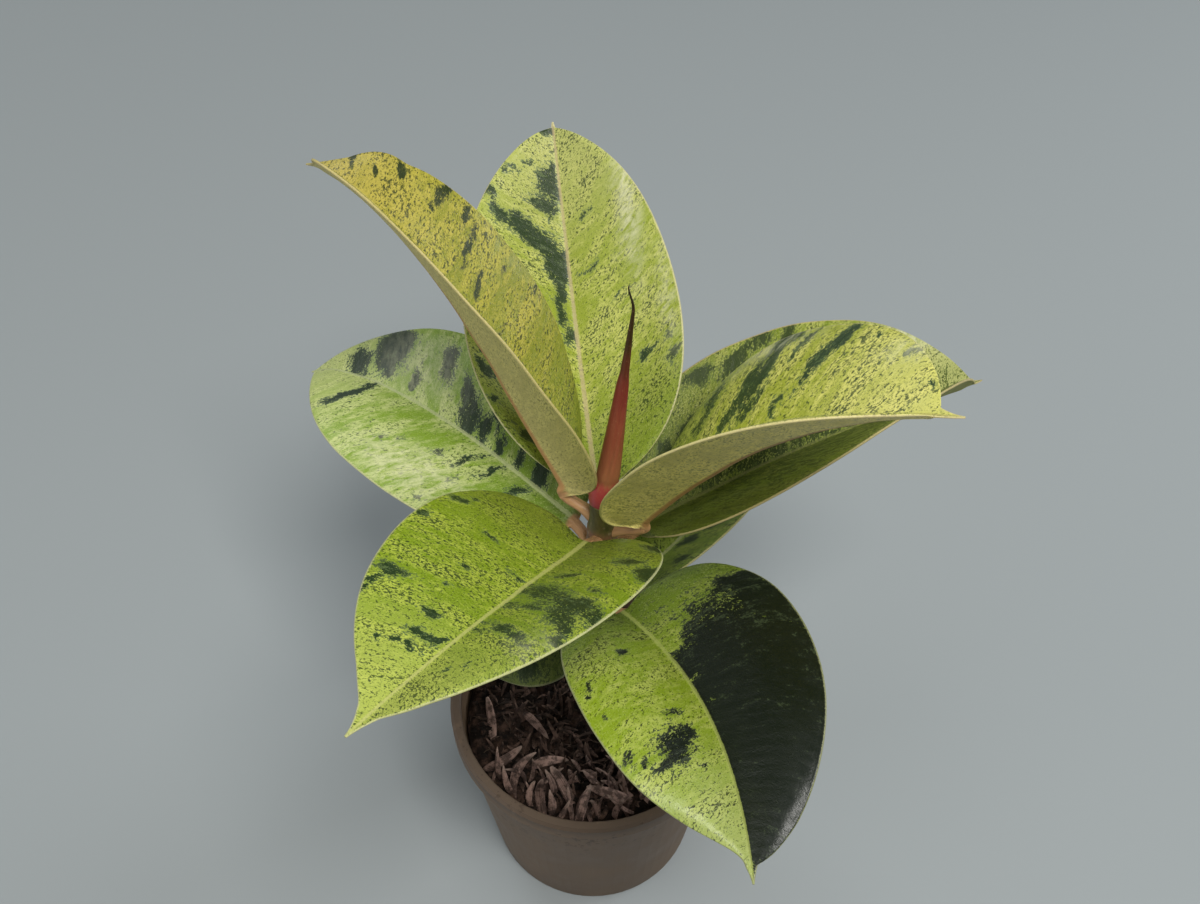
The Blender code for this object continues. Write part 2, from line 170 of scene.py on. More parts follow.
# The soil.
# Dark potting soil that fills the pot to a little below its lip, with a rough, crumbly top.
# It is poured in round the roots and pressed down a little.
SOIL_TOP = 64.5 * MM
SOIL_FLOOR = 2.1 * MM
SOIL_BRIM = 35.9 * MM
SOIL_SIDES = 220
SOIL_RINGS = 84
SOIL_DARK = (0.0085, 0.0055, 0.0038)
SOIL_BROWN = (0.078, 0.045, 0.032)
SOIL_GRAINS = (0.110, 0.072, 0.052)


def lattice(x, y, size, seed):
    """Smooth random heights from -1 to 1: random numbers on a square lattice whose points are
    size apart, blended between its corners by the smooth step 3t^2 - 2t^3."""
    table = np.random.default_rng(seed).uniform(-1, 1, (64, 64))
    column = np.floor(x / size).astype(int)
    row = np.floor(y / size).astype(int)
    across = x / size - column
    up = y / size - row
    across = across * across * (3 - 2 * across)
    up = up * up * (3 - 2 * up)
    low = table[column % 64, row % 64] * (1 - across) + table[(column + 1) % 64, row % 64] * across
    high = table[column % 64, (row + 1) % 64] * (1 - across)
    high = high + table[(column + 1) % 64, (row + 1) % 64] * across
    return low * (1 - up) + high * up


def settled_height(x, y):
    """The settled level: two crossed waves over the flat top, and a slight mound at the stem."""
    wave = np.sin(210 * x + 1.1) * np.cos(160 * y) + 0.6 * np.sin(330 * y - 140 * x)
    mound = np.maximum(0, 1 - np.hypot(x, y) / (14 * MM))
    return SOIL_TOP + 0.6 * MM * wave + 1.2 * MM * mound


def soil_height(x, y):
    """The settled level with lumps of three sizes on it."""
    lumps = 0.9 * lattice(x, y, 4.6 * MM, 1) + 0.55 * lattice(x, y, 2.1 * MM, 2)
    lumps = lumps + 0.3 * lattice(x, y, 0.95 * MM, 3)
    return settled_height(x, y) + (lumps - 0.35) * MM


def smooth(value, start, end):
    """The smooth step 3t^2 - 2t^3 from 0 at start to 1 at end."""
    share = np.clip((value - start) / (end - start), 0, 1)
    return share * share * (3 - 2 * share)


def closed_mesh(name, grid, **fields):
    """A smooth closed mesh from points laid out by piece, ring and place round the ring.

    Each ring closes on itself, each is joined to the next by four-sided faces, and the first and
    last are closed on a point at their middle. Fields hold one number or three for each point.
    """
    pieces, rings, sides = grid.shape[:3]

    def flat(values):
        values = values.reshape(pieces, rings, sides, -1)
        ends = values[:, [0, -1]].mean(axis=2)
        rows = values.reshape(pieces, rings * sides, -1)
        return np.concatenate([rows, ends], axis=1).reshape(pieces * (rings * sides + 2), -1)

    here = np.arange(sides)
    following = (here + 1) % sides
    ring = np.arange(rings - 1)[:, None] * sides
    quads = np.stack([ring + here, ring + following, ring + sides + following, ring + sides + here], 2)
    quads = quads.reshape(-1, 4)
    last = (rings - 1) * sides
    low = np.stack([here * 0 + rings * sides, following, here], 1)
    high = np.stack([here * 0 + rings * sides + 1, last + here, last + following], 1)
    caps = np.concatenate([low, high])
    points = flat(grid)
    first = points[: rings * sides + 2]
    triangles = np.concatenate([quads[:, [0, 1, 2]], quads[:, [0, 2, 3]], caps])
    a, b, c = (first[triangles[:, i]] - first.mean(axis=0) for i in range(3))
    if np.einsum("ij,ij->", a, np.cross(b, c)) < 0:
        quads = quads[:, ::-1]
        caps = caps[:, ::-1]
    starts = np.arange(pieces)[:, None, None] * (rings * sides + 2)
    quads = (quads + starts).reshape(-1, 4)
    caps = (caps + starts).reshape(-1, 3)
    mesh = bpy.data.meshes.new(name)
    mesh.from_pydata(points.tolist(), [], quads.tolist() + caps.tolist())
    for field, values in fields.items():
        layer = mesh.attributes.new(field, "FLOAT_VECTOR", "POINT")
        layer.data.foreach_set("vector", flat(values).astype(np.float32).ravel())
    mesh.shade_smooth()
    return mesh


def piece(name, grid, material, slot, *nodes, **fields):
    """Puts a closed mesh in the scene as a piece that rides on the root. It stands for the CAD
    nodes that are named, and where none is, it is surface detail."""
    mesh = closed_mesh(name, grid, **fields)
    mesh.materials.append(material)
    thing = bpy.data.objects.new(name, mesh)
    bpy.context.scene.collection.objects.link(thing)
    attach(thing, "root")
    if nodes:
        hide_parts(*nodes)


def soil_grid():
    """A profile carried round the pot's axis: floor, wall, and a top that follows its height and
    sinks a little at the pot's wall."""
    turn = np.linspace(0, 2 * np.pi, SOIL_SIDES, endpoint=False)
    floor = SOIL_FLOOR / MM
    wall = np.array([[9, floor], [29.8, floor], [32.6, 24], [34.6, 44], [SOIL_BRIM / MM, 61.5]]) * MM
    radius = np.concatenate([wall[:, 0], np.linspace(SOIL_BRIM, 1.2 * MM, SOIL_RINGS)])
    x = radius[:, None] * np.cos(turn)
    y = radius[:, None] * np.sin(turn)
    top = soil_height(x, y) - 1.6 * MM * smooth(radius, 34.0 * MM, SOIL_BRIM)[:, None]
    z = np.concatenate([np.tile(wall[:, 1:], (1, SOIL_SIDES)), top[len(wall):]])
    return np.stack([x, y, z], axis=-1)[None]


def soil_finish():
    """Damp to dry crumbs: dark brown with paler dry grains, rough all over."""
    finish = Finish("soil_crumbly", Roughness=0.95, Specular_IOR_Level=0.2)
    place = finish.place()
    colour = finish.paint(SOIL_DARK, SOIL_BROWN, finish.noise(place, 300, 5, 0.7), 0.42, 0.7)
    grains = finish.cells(place, 1300)
    colour = finish.paint(colour, SOIL_GRAINS, grains, 0.22, 0.10, 0.35)
    height = finish.noise(place, 900, 5, 0.75)
    finish.feed(Base_Color=colour, Normal=finish.bump(height, 0.7 * MM, 0.9))
    return finish.material


soil_material = soil_finish()
piece("potting_soil_rough", soil_grid(), soil_material, "soil", "potting_soil")

# Crumbs and fibres in the soil's top.
# Loose grains of the same soil and thin dead root fibres, lying where they fell.
CRUMBS = 900
FIBRES = 46
FIBRE_RINGS = 12
FIBRE_COLOURS = [(0.030, 0.020, 0.013), (0.110, 0.078, 0.054), (0.13, 0.10, 0.075)]


def crumb_grid(draw, count):
    """Lumps: squashed balls whose rings are moved in and out by random amounts."""
    reach = 34.5 * MM * np.sqrt(draw.uniform(0.02, 1, count))
    turn = draw.uniform(0, 2 * np.pi, count)
    x = reach * np.cos(turn)
    y = reach * np.sin(turn)
    size = draw.uniform(0.35, 1.25, count) ** 1.4 * MM
    around = np.linspace(0, 2 * np.pi, 7, endpoint=False)
    down = np.linspace(0.3, np.pi - 0.3, 4)
    lump = draw.uniform(0.72, 1.2, (count, 4, 7)) * size[:, None, None]
    across = np.sin(down)[None, :, None] * lump
    wide = draw.uniform(0.7, 1.5, count)[:, None, None]
    grid = np.stack([
        x[:, None, None] + across * np.cos(around) * wide,
        y[:, None, None] + across * np.sin(around),
        (soil_height(x, y) + 0.25 * size)[:, None, None] + 0.8 * lump * np.cos(down)[None, :, None],
    ], axis=-1)
    return grid


def tube_grid(path, radius, sides):
    """A round section carried along a path: path has points by piece and ring, radius one number
    for each. The section stands square to the path, with its first side as level as it can be."""
    ahead = np.gradient(path, axis=1)
    ahead = ahead / np.linalg.norm(ahead, axis=-1, keepdims=True)
    side = np.cross(ahead, np.array([0.13, 0.09, 0.98]))
    side = side / np.linalg.norm(side, axis=-1, keepdims=True)
    crown = np.cross(side, ahead)
    around = np.linspace(0, 2 * np.pi, sides, endpoint=False)[:, None]
    section = side[..., None, :] * np.cos(around) + crown[..., None, :] * np.sin(around)
    return path[..., None, :] + section * radius[..., None, None]


def fibre_grid(draw, count):
    """Fibres: thin tubes that wander over the soil, higher in the middle than at their ends."""
    reach = 29 * MM * np.sqrt(draw.uniform(0.05, 1, count))
    turn = draw.uniform(0, 2 * np.pi, count)
    heading = draw.uniform(0, 2 * np.pi, count)[:, None]
    length = draw.uniform(7, 17, count)[:, None] * MM
    share = np.linspace(0, 1, FIBRE_RINGS)[None]
    bend = draw.uniform(-1.3, 1.3, count)[:, None]
    heading = heading + bend * share + 0.5 * np.sin(7 * share + 3 * bend)
    x = (reach * np.cos(turn))[:, None] + np.cumsum(np.cos(heading), axis=1) * length / FIBRE_RINGS
    y = (reach * np.sin(turn))[:, None] + np.cumsum(np.sin(heading), axis=1) * length / FIBRE_RINGS
    inside = np.minimum(1, 35 * MM / np.hypot(x, y))
    x = x * inside
    y = y * inside
    lift = draw.uniform(0.3, 2.6, count)[:, None] * MM * np.sin(np.pi * share)
    path = np.stack([x, y, soil_height(x, y) + lift], axis=-1)
    radius = draw.uniform(0.12, 0.30, count)[:, None] * MM * (1 - 0.6 * share)
    return tube_grid(path, radius, 6)


def husk_finish(name, dark, light, dry):
    """Dry husk: fibres from dark to light along it, soil dust in the hollows, drier at one end."""
    finish = Finish(name, Roughness=0.9, Specular_IOR_Level=0.25)
    length, width, number = finish.field("grain")
    grain = finish.add("CombineXYZ", {"X": length, "Y": width, "Z": number}).outputs[0]
    fibres = finish.noise(grain, (1.6, 9, 1), 4, 0.65)
    tone = finish.noise(grain, (0, 0, 3.1), 0)
    colour = finish.paint(dark, light, finish.times(tone, 0.9, fibres), 0.72, 1.15)
    dust = finish.noise(finish.place(), 420, 4, 0.7)
    colour = finish.paint(colour, SOIL_DARK, dust, 0.58, 0.42, 0.7)
    colour = finish.paint(colour, dry, length, 0.80, 0.98, 0.45)
    height = finish.times(dust, 0.5, fibres)
    finish.feed(Base_Color=colour, Normal=finish.bump(height, 0.35 * MM, 0.8))
    return finish.material


draw = np.random.default_rng(11)
piece("soil_crumbs", crumb_grid(draw, CRUMBS), soil_material, "soil")
fibres = fibre_grid(draw, FIBRES)
along = np.broadcast_to(np.linspace(0, 1, FIBRE_RINGS)[None, :, None], fibres.shape[:3])
number = np.broadcast_to(np.arange(FIBRES)[:, None, None], fibres.shape[:3])
fibre_grain = np.stack([along * 0.7, along * 0, number], axis=-1)
fibre_material = husk_finish("root_fibre", *FIBRE_COLOURS)
piece("soil_fibres", fibres, fibre_material, "husk", grain=fibre_grain)

# The husk chips.
# Dry taupe slivers of husk mixed into the soil; on the surface some lie flat and some stand up.
# The large ones are pieces of their own; the small ones between them are one layer of litter.

# Each large chip: its place and heading on the soil, its tilt, length and width, in mm and degrees
CHIPS = np.array([
    (-18, -22, 60, 38, 15, 4.5),
    (-13, -29, 95, 52, 13, 4),
    (-8, -25, 130, 44, 14, 4.5),
    (-25, -15, 25, 20, 13, 4),
    (-2, -30, 70, 30, 12, 3.5),
    (5, -26, 165, 12, 14, 4.5),
    (-12, -17, 10, 8, 12, 4),
    (14, -23, 110, 25, 13, 4),
    (-29, -4, 100, 10, 13, 4),
    (22, -14, 40, 16, 14, 4.5),
    (11, -12, -20, 6, 11, 3.5),
    (-16, -5, -50, 8, 12, 3.5),
    (28, -1, 80, 12, 12, 4),
    (16, 1, -70, 6, 11, 3.5),
])
CHIP_SLIMNESS = 0.66
CHIP_SINK = 0.5 * MM
CHIP_COLOURS = [(0.075, 0.044, 0.034), (0.340, 0.220, 0.178), (0.48, 0.35, 0.28)]
TUFTS = 80
TUFT_SINK = 1.2 * MM
LITTER = 620
LITTER_REACH = 31.5
LITTER_COLOURS = [(0.022, 0.013, 0.009), (0.150, 0.090, 0.066), (0.24, 0.16, 0.12)]


def chip_grid(chips, rings, sides, draw, sink):
    """Slivers: a flat oval section that swells from one point and narrows to the other along a
    line that bends, ridged lengthwise, let down until the lowest part is sunk in the soil."""
    count = len(chips)

    def each(low, high, *shape):
        """One random number for each chip, or an array of them for each."""
        return draw.uniform(low, high, (count, *(shape or (1, 1))))

    heading, tilt = np.radians(chips[:, 2]), np.radians(chips[:, 3])
    length = chips[:, 4, None, None] * MM
    half = CHIP_SLIMNESS * chips[:, 5, None, None] * MM / 2
    along = np.stack([np.cos(tilt) * np.cos(heading), np.cos(tilt) * np.sin(heading), np.sin(tilt)], 1)
    side = np.stack([-np.sin(heading), np.cos(heading), 0 * heading], 1)
    crown = np.cross(along, side)
    roll = each(-0.5, 0.5)[..., 0]
    side, crown = np.cos(roll) * side + np.sin(roll) * crown, np.cos(roll) * crown - np.sin(roll) * side
    share = np.linspace(0.02, 0.985, rings)[None, :, None]
    around = np.linspace(0, 2 * np.pi, sides, endpoint=False)[None, None, :]
    blunt = each(0.28, 0.55)
    swell = share**blunt * (1 - share) ** (1.35 * blunt)
    swell = swell / swell.max(axis=1, keepdims=True)
    ridge = 1 + 0.10 * np.sin(5 * around + 9 * blunt) + 0.07 * each(-1, 1, rings, sides)
    arch = 4 * share * (1 - share)
    bend = each(-0.24, 0.30) * length * arch
    sway = each(-0.16, 0.16) * length * arch
    flat = each(0.30, 0.52)
    forward = (share - 0.5) * length + 0 * around
    out = half * swell * ridge * np.cos(around) + sway
    up = half * flat * swell * ridge * np.sin(around) + bend
    up = up + 0.25 * np.abs(np.cos(around)) * swell * half
    grid = np.stack([chips[:, 0] * MM, chips[:, 1] * MM, 0 * heading], 1)[:, None, None, :]
    for amount, direction in ((forward, along), (out, side), (up, crown)):
        grid = grid + amount[..., None] * direction[:, None, None, :]
    sunk = (settled_height(grid[..., 0], grid[..., 1]) - grid[..., 2]).max(axis=(1, 2))
    grid[..., 2] += (sunk - sink)[:, None, None]
    number = np.arange(count)[:, None, None] * 1.7
    fields = np.broadcast_arrays(share, np.cos(around), number)
    return grid, np.stack(fields, axis=-1)


husk_material = husk_finish("husk_dry", *CHIP_COLOURS)
litter_material = husk_finish("husk_small", *LITTER_COLOURS)
chip_points, chip_grain = chip_grid(CHIPS, 26, 22, draw, CHIP_SINK)
for i in range(len(CHIPS)):
    name = f"husk_chip_{i + 1:02d}"
    piece(name + "_dry", chip_points[i:i + 1], husk_material, "husk", name, grain=chip_grain[i:i + 1])

tufts = np.stack([
    draw.uniform(-27, 17, TUFTS),
    draw.uniform(-33, -17, TUFTS),
    draw.uniform(20, 170, TUFTS),
    draw.uniform(25, 72, TUFTS),
    draw.uniform(6, 11.5, TUFTS),
    draw.uniform(1.5, 3.2, TUFTS),
], axis=1)
tufts = tufts[np.hypot(tufts[:, 0], tufts[:, 1]) < 33]
tuft_points, tuft_grain = chip_grid(tufts, 12, 10, draw, TUFT_SINK)
piece("husk_slivers", tuft_points, husk_material, "husk", grain=tuft_grain)

litter_reach = LITTER_REACH * np.sqrt(draw.uniform(0.045, 1, LITTER))
litter_turn = draw.uniform(0, 2 * np.pi, LITTER)
litter_tilt = draw.uniform(-8, 26, LITTER) + 34 * (draw.uniform(0, 1, LITTER) > 0.70)
litter = np.stack([
    litter_reach * np.cos(litter_turn),
    litter_reach * np.sin(litter_turn),
    draw.uniform(0, 360, LITTER),
    litter_tilt,
    draw.uniform(3.2, 8.2, LITTER) * (1.1 - 0.45 * (litter_reach / LITTER_REACH) ** 3),
    draw.uniform(0.9, 2.2, LITTER),
], axis=1)
litter_points, litter_grain = chip_grid(litter, 8, 8, draw, draw.uniform(0.2, 1.4, LITTER) * MM)
piece("husk_litter", litter_points, litter_material, "husk", grain=litter_grain)

# The stem.
# A single woody shoot, olive-brown, with a raised ring where each leaf grows or has grown.
# It comes up out of the soil and leans a little to one side; all leaves grow from it.
STEM_FOOT = 42 * MM
STEM_TOP = 168.5 * MM
STEM_LEAN = 3 * MM
STALK_NODES = np.array([82, 97, 113, 113.5, 122.5, 142.5, 142.5, 147.5, 152, 154, 157]) * MM
STEM_SIDES = 40
STEM_RINGS = 420
RING_SWELL = 0.42
BARK_DARK = (0.045, 0.034, 0.010)
BARK_LIGHT = (0.125, 0.098, 0.032)
BARK_YOUNG = (0.095, 0.098, 0.022)
BARK_RINGS = (0.165, 0.070, 0.036)
BARK_DOTS = (0.22, 0.17, 0.095)


def stem_point(height):
    """The stem's axis, at one height or at many."""
    height = np.asarray(height)
    share = (height - STEM_FOOT) / (STEM_TOP - STEM_FOOT)
    return np.stack([STEM_LEAN * share, 0 * share, height], axis=-1)


def stem_radius(height):
    """The stem's radius between its rings."""
    return (4 - (height - STEM_FOOT) / (STEM_TOP - STEM_FOOT)) * MM


def stem_grid():
    """A round section up the axis; at each ring it swells on a bell curve, with a fine double lip."""
    height = np.linspace(52 * MM, STEM_TOP, STEM_RINGS)
    away = (height[:, None] - STALK_NODES[None]) / MM
    swell = (RING_SWELL * np.exp(-(away / 1.6) ** 2)).max(axis=1)
    lip = (0.20 * np.exp(-((away + 1.0) / 0.28) ** 2)).max(axis=1)
    turn = np.linspace(0, 2 * np.pi, STEM_SIDES, endpoint=False)[None]
    z = height[:, None] + 0 * turn
    girth = turn * 3.2 * MM
    rough = 0.10 * lattice(girth, z, 1.9 * MM, 21) + 0.06 * lattice(girth, z, 0.6 * MM, 22)
    rough = rough * np.sin(turn / 2)
    radius = stem_radius(height)[:, None] + (swell + lip)[:, None] * MM + rough * MM
    radius = radius * (1 - 0.5 * smooth(height, STEM_TOP - 0.8 * MM, STEM_TOP)[:, None] ** 2)
    axis = stem_point(height)[:, None]
    spread = np.stack([np.cos(turn) * radius, np.sin(turn) * radius, 0 * radius], axis=-1)
    ring = np.broadcast_to((swell / RING_SWELL)[:, None], radius.shape)
    return (axis + spread)[None], np.stack([ring, ring * 0, ring * 0], axis=-1)[None]


def stem_finish():
    """Young bark: olive-brown with corky lighter dots and streaks, reddish-brown at the rings."""
    finish = Finish("stem_bark", Roughness=0.55, Specular_IOR_Level=0.4)
    place = finish.place()
    height = finish.add("SeparateXYZ", {"Vector": place}).outputs["Z"]
    ring = finish.field("ring")[0]
    streaks = finish.noise(place, (900, 900, 170), 4, 0.65)
    colour = finish.paint(BARK_DARK, BARK_LIGHT, streaks, 0.35, 0.7)
    colour = finish.paint(colour, BARK_YOUNG, height, 110 * MM, 160 * MM, 0.55)
    colour = finish.mix(finish.times(ring, 0.75), colour, BARK_RINGS)
    dots = finish.cells(finish.stretch(place, (700, 700, 480)), 1)
    colour = finish.paint(colour, BARK_DOTS, dots, 0.28, 0.14, 0.6)
    relief = finish.maths("SUBTRACT", streaks, dots)
    finish.feed(Base_Color=colour, Normal=finish.bump(relief, 0.25 * MM, 0.6))
    return finish.material


stem_points, stem_ring = stem_grid()
piece("stem_bark", stem_points, stem_finish(), "stem_skin", "stem", ring=stem_ring)

# The bud sheath.
# A slim red spike that wraps the next leaf; it narrows at a shoulder and its dark tip is hooked.
# It grows from the stem's top out of a short crimson collar.
SHEATH_HEIGHT = 58 * MM
SHEATH_SIDE_LEAN = 6.5 * MM
SHEATH_BACK_LEAN = 9 * MM
SHEATH_RINGS = 150
SHEATH_SIDES = 44
SHEATH_FOOT_COLOUR = (0.360, 0.130, 0.060)
SHEATH_FLECKS = (0.36, 0.17, 0.085)

# Shares of the height where each further colour starts and where it is full; the collar comes last
SHEATH_BANDS = [
    (0.15, 0.42, (0.260, 0.062, 0.036)),
    (0.42, 0.60, (0.180, 0.026, 0.022)),
    (0.60, 0.72, (0.085, 0.018, 0.012)),
    (0.72, 0.84, (0.030, 0.013, 0.005)),
    (0.90, 1.02, (0.014, 0.009, 0.004)),
    (0.185, 0.125, (0.360, 0.042, 0.045)),
]


def sheath_grid():
    """A section that narrows by (1 - share^1.15)^1.15, drawn in at the shoulder and swollen at the
    collar, with a shallow groove that winds a third of a turn; its tip bends to the left."""
    share = np.linspace(-0.03, 1, SHEATH_RINGS)
    rise = np.maximum(share, 0)
    radius = 0.17 + 2.65 * np.maximum(0, 1 - rise**1.15) ** 1.15
    radius = radius * (1 - 0.20 * smooth(share, 0.57, 0.65))
    radius = radius + 0.45 * np.exp(-((share - 0.03) / 0.055) ** 2)
    radius = radius - 0.16 * np.exp(-((share - 0.115) / 0.02) ** 2)
    turn = np.linspace(0, 2 * np.pi, SHEATH_SIDES, endpoint=False)[None]
    groove_at = -2.2 + 2.1 * share[:, None]
    apart = np.angle(np.exp(1j * (turn - groove_at)))
    above_collar = smooth(share, 0.1, 0.2)[:, None]
    groove = 0.13 * np.exp(-(apart / 0.16) ** 2) * above_collar
    lap = 0.10 * np.exp(-((apart - 0.42) / 0.22) ** 2) * above_collar
    oval = 1 + 0.06 * np.cos(2 * turn + 0.6)
    radius = radius[:, None] * oval * (1 - groove + lap) * MM
    hook = 1.6 * MM * smooth(share, 0.88, 1.0) ** 1.5
    axis = stem_point(STEM_TOP) + np.stack([
        SHEATH_SIDE_LEAN * rise**0.9 - hook,
        SHEATH_BACK_LEAN * rise**1.2,
        SHEATH_HEIGHT * share,
    ], axis=-1)
    spread = np.stack([np.cos(turn) * radius, np.sin(turn) * radius, 0 * radius], axis=-1)
    grid = axis[:, None] + spread
    grid[-1] = axis[-1] + 0.5 * spread[-1]
    level = np.broadcast_to(share[:, None], radius.shape)
    return grid[None], np.stack([level, level * 0, level * 0], axis=-1)[None]


def sheath_finish():
    """Smooth satin skin: crimson collar, orange-brown foot, dark red middle, near-black olive tip."""
    finish = Finish("sheath_red", Roughness=0.38, Specular_IOR_Level=0.5)
    share = finish.field("rise")[0]
    place = finish.place()
    streaks = finish.noise(place, (1200, 1200, 90), 4, 0.6)
    wander = finish.times(streaks, 0.10, share)
    colour = SHEATH_FOOT_COLOUR
    for start, full, band in SHEATH_BANDS:
        colour = finish.paint(colour, band, wander, start, full)
    flecks = finish.noise(place, 1500, 3, 0.6)
    colour = finish.paint(colour, SHEATH_FLECKS, flecks, 0.60, 0.72, 0.35)
    normal = finish.bump(streaks, 0.12 * MM, 0.5)
    finish.feed(Base_Color=colour, Normal=finish.bump(flecks, 0.05 * MM, 0.5, normal))
    return finish.material


sheath_points, sheath_rise = sheath_grid()
piece("bud_sheath_red", sheath_points, sheath_finish(), "sheath_skin", "bud_sheath", rise=sheath_rise)

# The leaves.
# Nine thick, waxy, folded blades on short stalks, each with a raised midrib below and a pale rim.
# Each grew from one ring of the stem; no two have the same fold, bend or dark patches.
STALK_RADIUS = 1.5
STALK_REACH = 9 * MM
STALK_RISE = 0.9
STALK_BEND = 0.35
STALK_RINGS = 22
BLADE_RINGS = 132
HALF_PLACES = 32
BLADE_THICKNESS = 0.7
RIM_THICKNESS = 0.45
LEAST_THICKNESS = 0.6
WIDEST_PLACE = 0.46
CREASE = 0.7
WAVE_DEPTH = 0.35
WAVE_LENGTH = 11
SWELL_DEPTH = 0.18
SWELL_LENGTH = 7.5
CHANNEL_DEPTH = 0.16
FOOT_SWELL = 0.22
RIB_DEPTH = 0.9
RIB_DEPTH_AT_STALK = 1.4
RIDGE_HEIGHT = 0.16
BEAD_HEIGHT = 0.09
EDGE_ROUNDING = 0.35
VEIN_SLANT = 0.40
VEIN_CURVE = 0.004
PATTERN_STEP = 9.7
UNDER_STEP = 4.3
FAR_FROM_RIM = 9.0

# How far the rim turns down, in mm, and the share of the half width where that starts
TURN_DOWN = {"leaf_front_right": (3.0, 0.4), "leaf_back": (1.2, 0.75)}
LITTLE_TURN_DOWN = (0.6, 0.8)

# Each leaf, in millimetres and degrees. The height is where the blade starts beside the stem, and
# the drop is how much lower its stalk leaves it. The midrib heads and climbs as given and has
# turned and reached climb_tip at its end; bend says how late. Each half is folded up and curled
# by its own angles, unfold is the share of the fold lost by the tip, and roll and twist turn the
# whole blade. Shift moves the widest place, tip is the length of the drip tip, and blunt and slim
# shape each half's last stretch.
LEAVES = {
    "leaf_top_left": dict(
        height=165, drop=5, heading=147, turn=-10.5, climb=60, climb_tip=-29.5, bend=2.9, length=102.5,
        half_width=21.5, fold_left=47.5, fold_right=25.5, curl_left=3, curl_right=-6.5, unfold=0.1,
        roll=35.5, twist=-25.5, shift=0.75, tip=9.5, blunt_left=-0.05, blunt_right=-0.05,
        slim_left=-0.05, slim_right=-0.35,
    ),
    "leaf_top_right": dict(
        height=163, drop=6, heading=-17, turn=-7.5, climb=62, climb_tip=19.5, bend=1.75, length=90,
        half_width=30, fold_left=26, fold_right=32.5, curl_left=-5, curl_right=-4, unfold=0.05,
        roll=-14, twist=-4.5, shift=1.2, tip=5, blunt_left=0.1, blunt_right=0.05, slim_left=-0.35,
        slim_right=0,
    ),
    "leaf_front_left": dict(
        height=164, drop=9, heading=-111.5, turn=-14, climb=39.5, climb_tip=12, bend=1.95, length=94,
        half_width=26, fold_left=27, fold_right=28.5, curl_left=-4.5, curl_right=-3.5, unfold=0.15,
        roll=0, twist=7.5, shift=0.9, tip=5.5, blunt_left=0.15, blunt_right=0.4, slim_left=0.5,
        slim_right=-0.65,
    ),
    "leaf_back": dict(
        height=159.5, drop=9, heading=97, turn=1, climb=-1, climb_tip=37.5, bend=0.5, length=96.5,
        half_width=30.5, fold_left=28.5, fold_right=34, curl_left=11, curl_right=5.5, unfold=0.2,
        roll=1, twist=-15.5, shift=0.9, tip=1.5, blunt_left=0.05, blunt_right=0.2, slim_left=0.2,
        slim_right=-0.25,
    ),
    "leaf_front_right": dict(
        height=132.5, drop=7, heading=-55.5, turn=-32, climb=28, climb_tip=-8.5, bend=2.15, length=86,
        half_width=30, fold_left=31.5, fold_right=35, curl_left=1, curl_right=1, unfold=0.2, roll=0,
        twist=15.5, shift=0.95, tip=3.5, blunt_left=0.05, blunt_right=0.75, slim_left=0.55,
        slim_right=-0.95,
    ),
    "leaf_left": dict(
        height=151.5, drop=6, heading=136, turn=13, climb=4.5, climb_tip=-42, bend=3.45, length=93.5,
        half_width=26.5, fold_left=12, fold_right=18, curl_left=-14, curl_right=-10.5, unfold=0.25,
        roll=-1.5, twist=10.5, shift=0.95, tip=2, blunt_left=0.3, blunt_right=0.1, slim_left=0.75,
        slim_right=0.25,
    ),
    "leaf_right": dict(
        height=151, drop=6, heading=26.5, turn=0.5, climb=10.5, climb_tip=-8, bend=0.9, length=102,
        half_width=30.5, fold_left=34.5, fold_right=39.5, curl_left=-1.5, curl_right=-1.5,
        unfold=-0.45, roll=0.5, twist=-10.5, shift=0.9, tip=3, blunt_left=0.25, blunt_right=0.25,
        slim_left=-0.05, slim_right=0.3,
    ),
    "leaf_low_right": dict(
        height=121, drop=5, heading=40, turn=9, climb=14.5, climb_tip=-8, bend=1.4, length=54.5,
        half_width=19, fold_left=25, fold_right=35.5, curl_left=-2, curl_right=-2, unfold=0.15,
        roll=-12.5, twist=-7.5, shift=1, tip=2, blunt_left=0.4, blunt_right=0.4, slim_left=0.1,
        slim_right=0.1,
    ),
    "leaf_low_left": dict(
        height=122, drop=5, heading=-147, turn=1, climb=16.5, climb_tip=-6.5, bend=1.4, length=28,
        half_width=14.5, fold_left=19, fold_right=25, curl_left=-6.5, curl_right=-6.5, unfold=0.15,
        roll=-6, twist=0, shift=1, tip=1.5, blunt_left=0.4, blunt_right=0.4, slim_left=0.2,
        slim_right=0.2,
    ),
}


def climb_and_heading(leaf, share):
    """Angles of the midrib above the level and round the stem, in radians."""
    climb = leaf["climb"] + (leaf["climb_tip"] - leaf["climb"]) * share ** leaf["bend"]
    return np.radians(climb), np.radians(leaf["heading"] + leaf["turn"] * share)


def leaf_axes(leaf, share):
    """Unit vectors along the midrib, to the leaf's left and out of its upper face."""
    climb, heading = climb_and_heading(leaf, share)
    ahead, aside = np.cos(heading), np.sin(heading)
    along = np.stack([np.cos(climb) * ahead, np.cos(climb) * aside, np.sin(climb)], -1)
    left = np.stack([-aside, ahead, 0 * climb], -1)
    upright = np.cross(along, left)
    roll = np.radians(leaf["roll"] + leaf["twist"] * share)[..., None]
    left, up = np.cos(roll) * left + np.sin(roll) * upright, np.cos(roll) * upright - np.sin(roll) * left
    return along, left, up


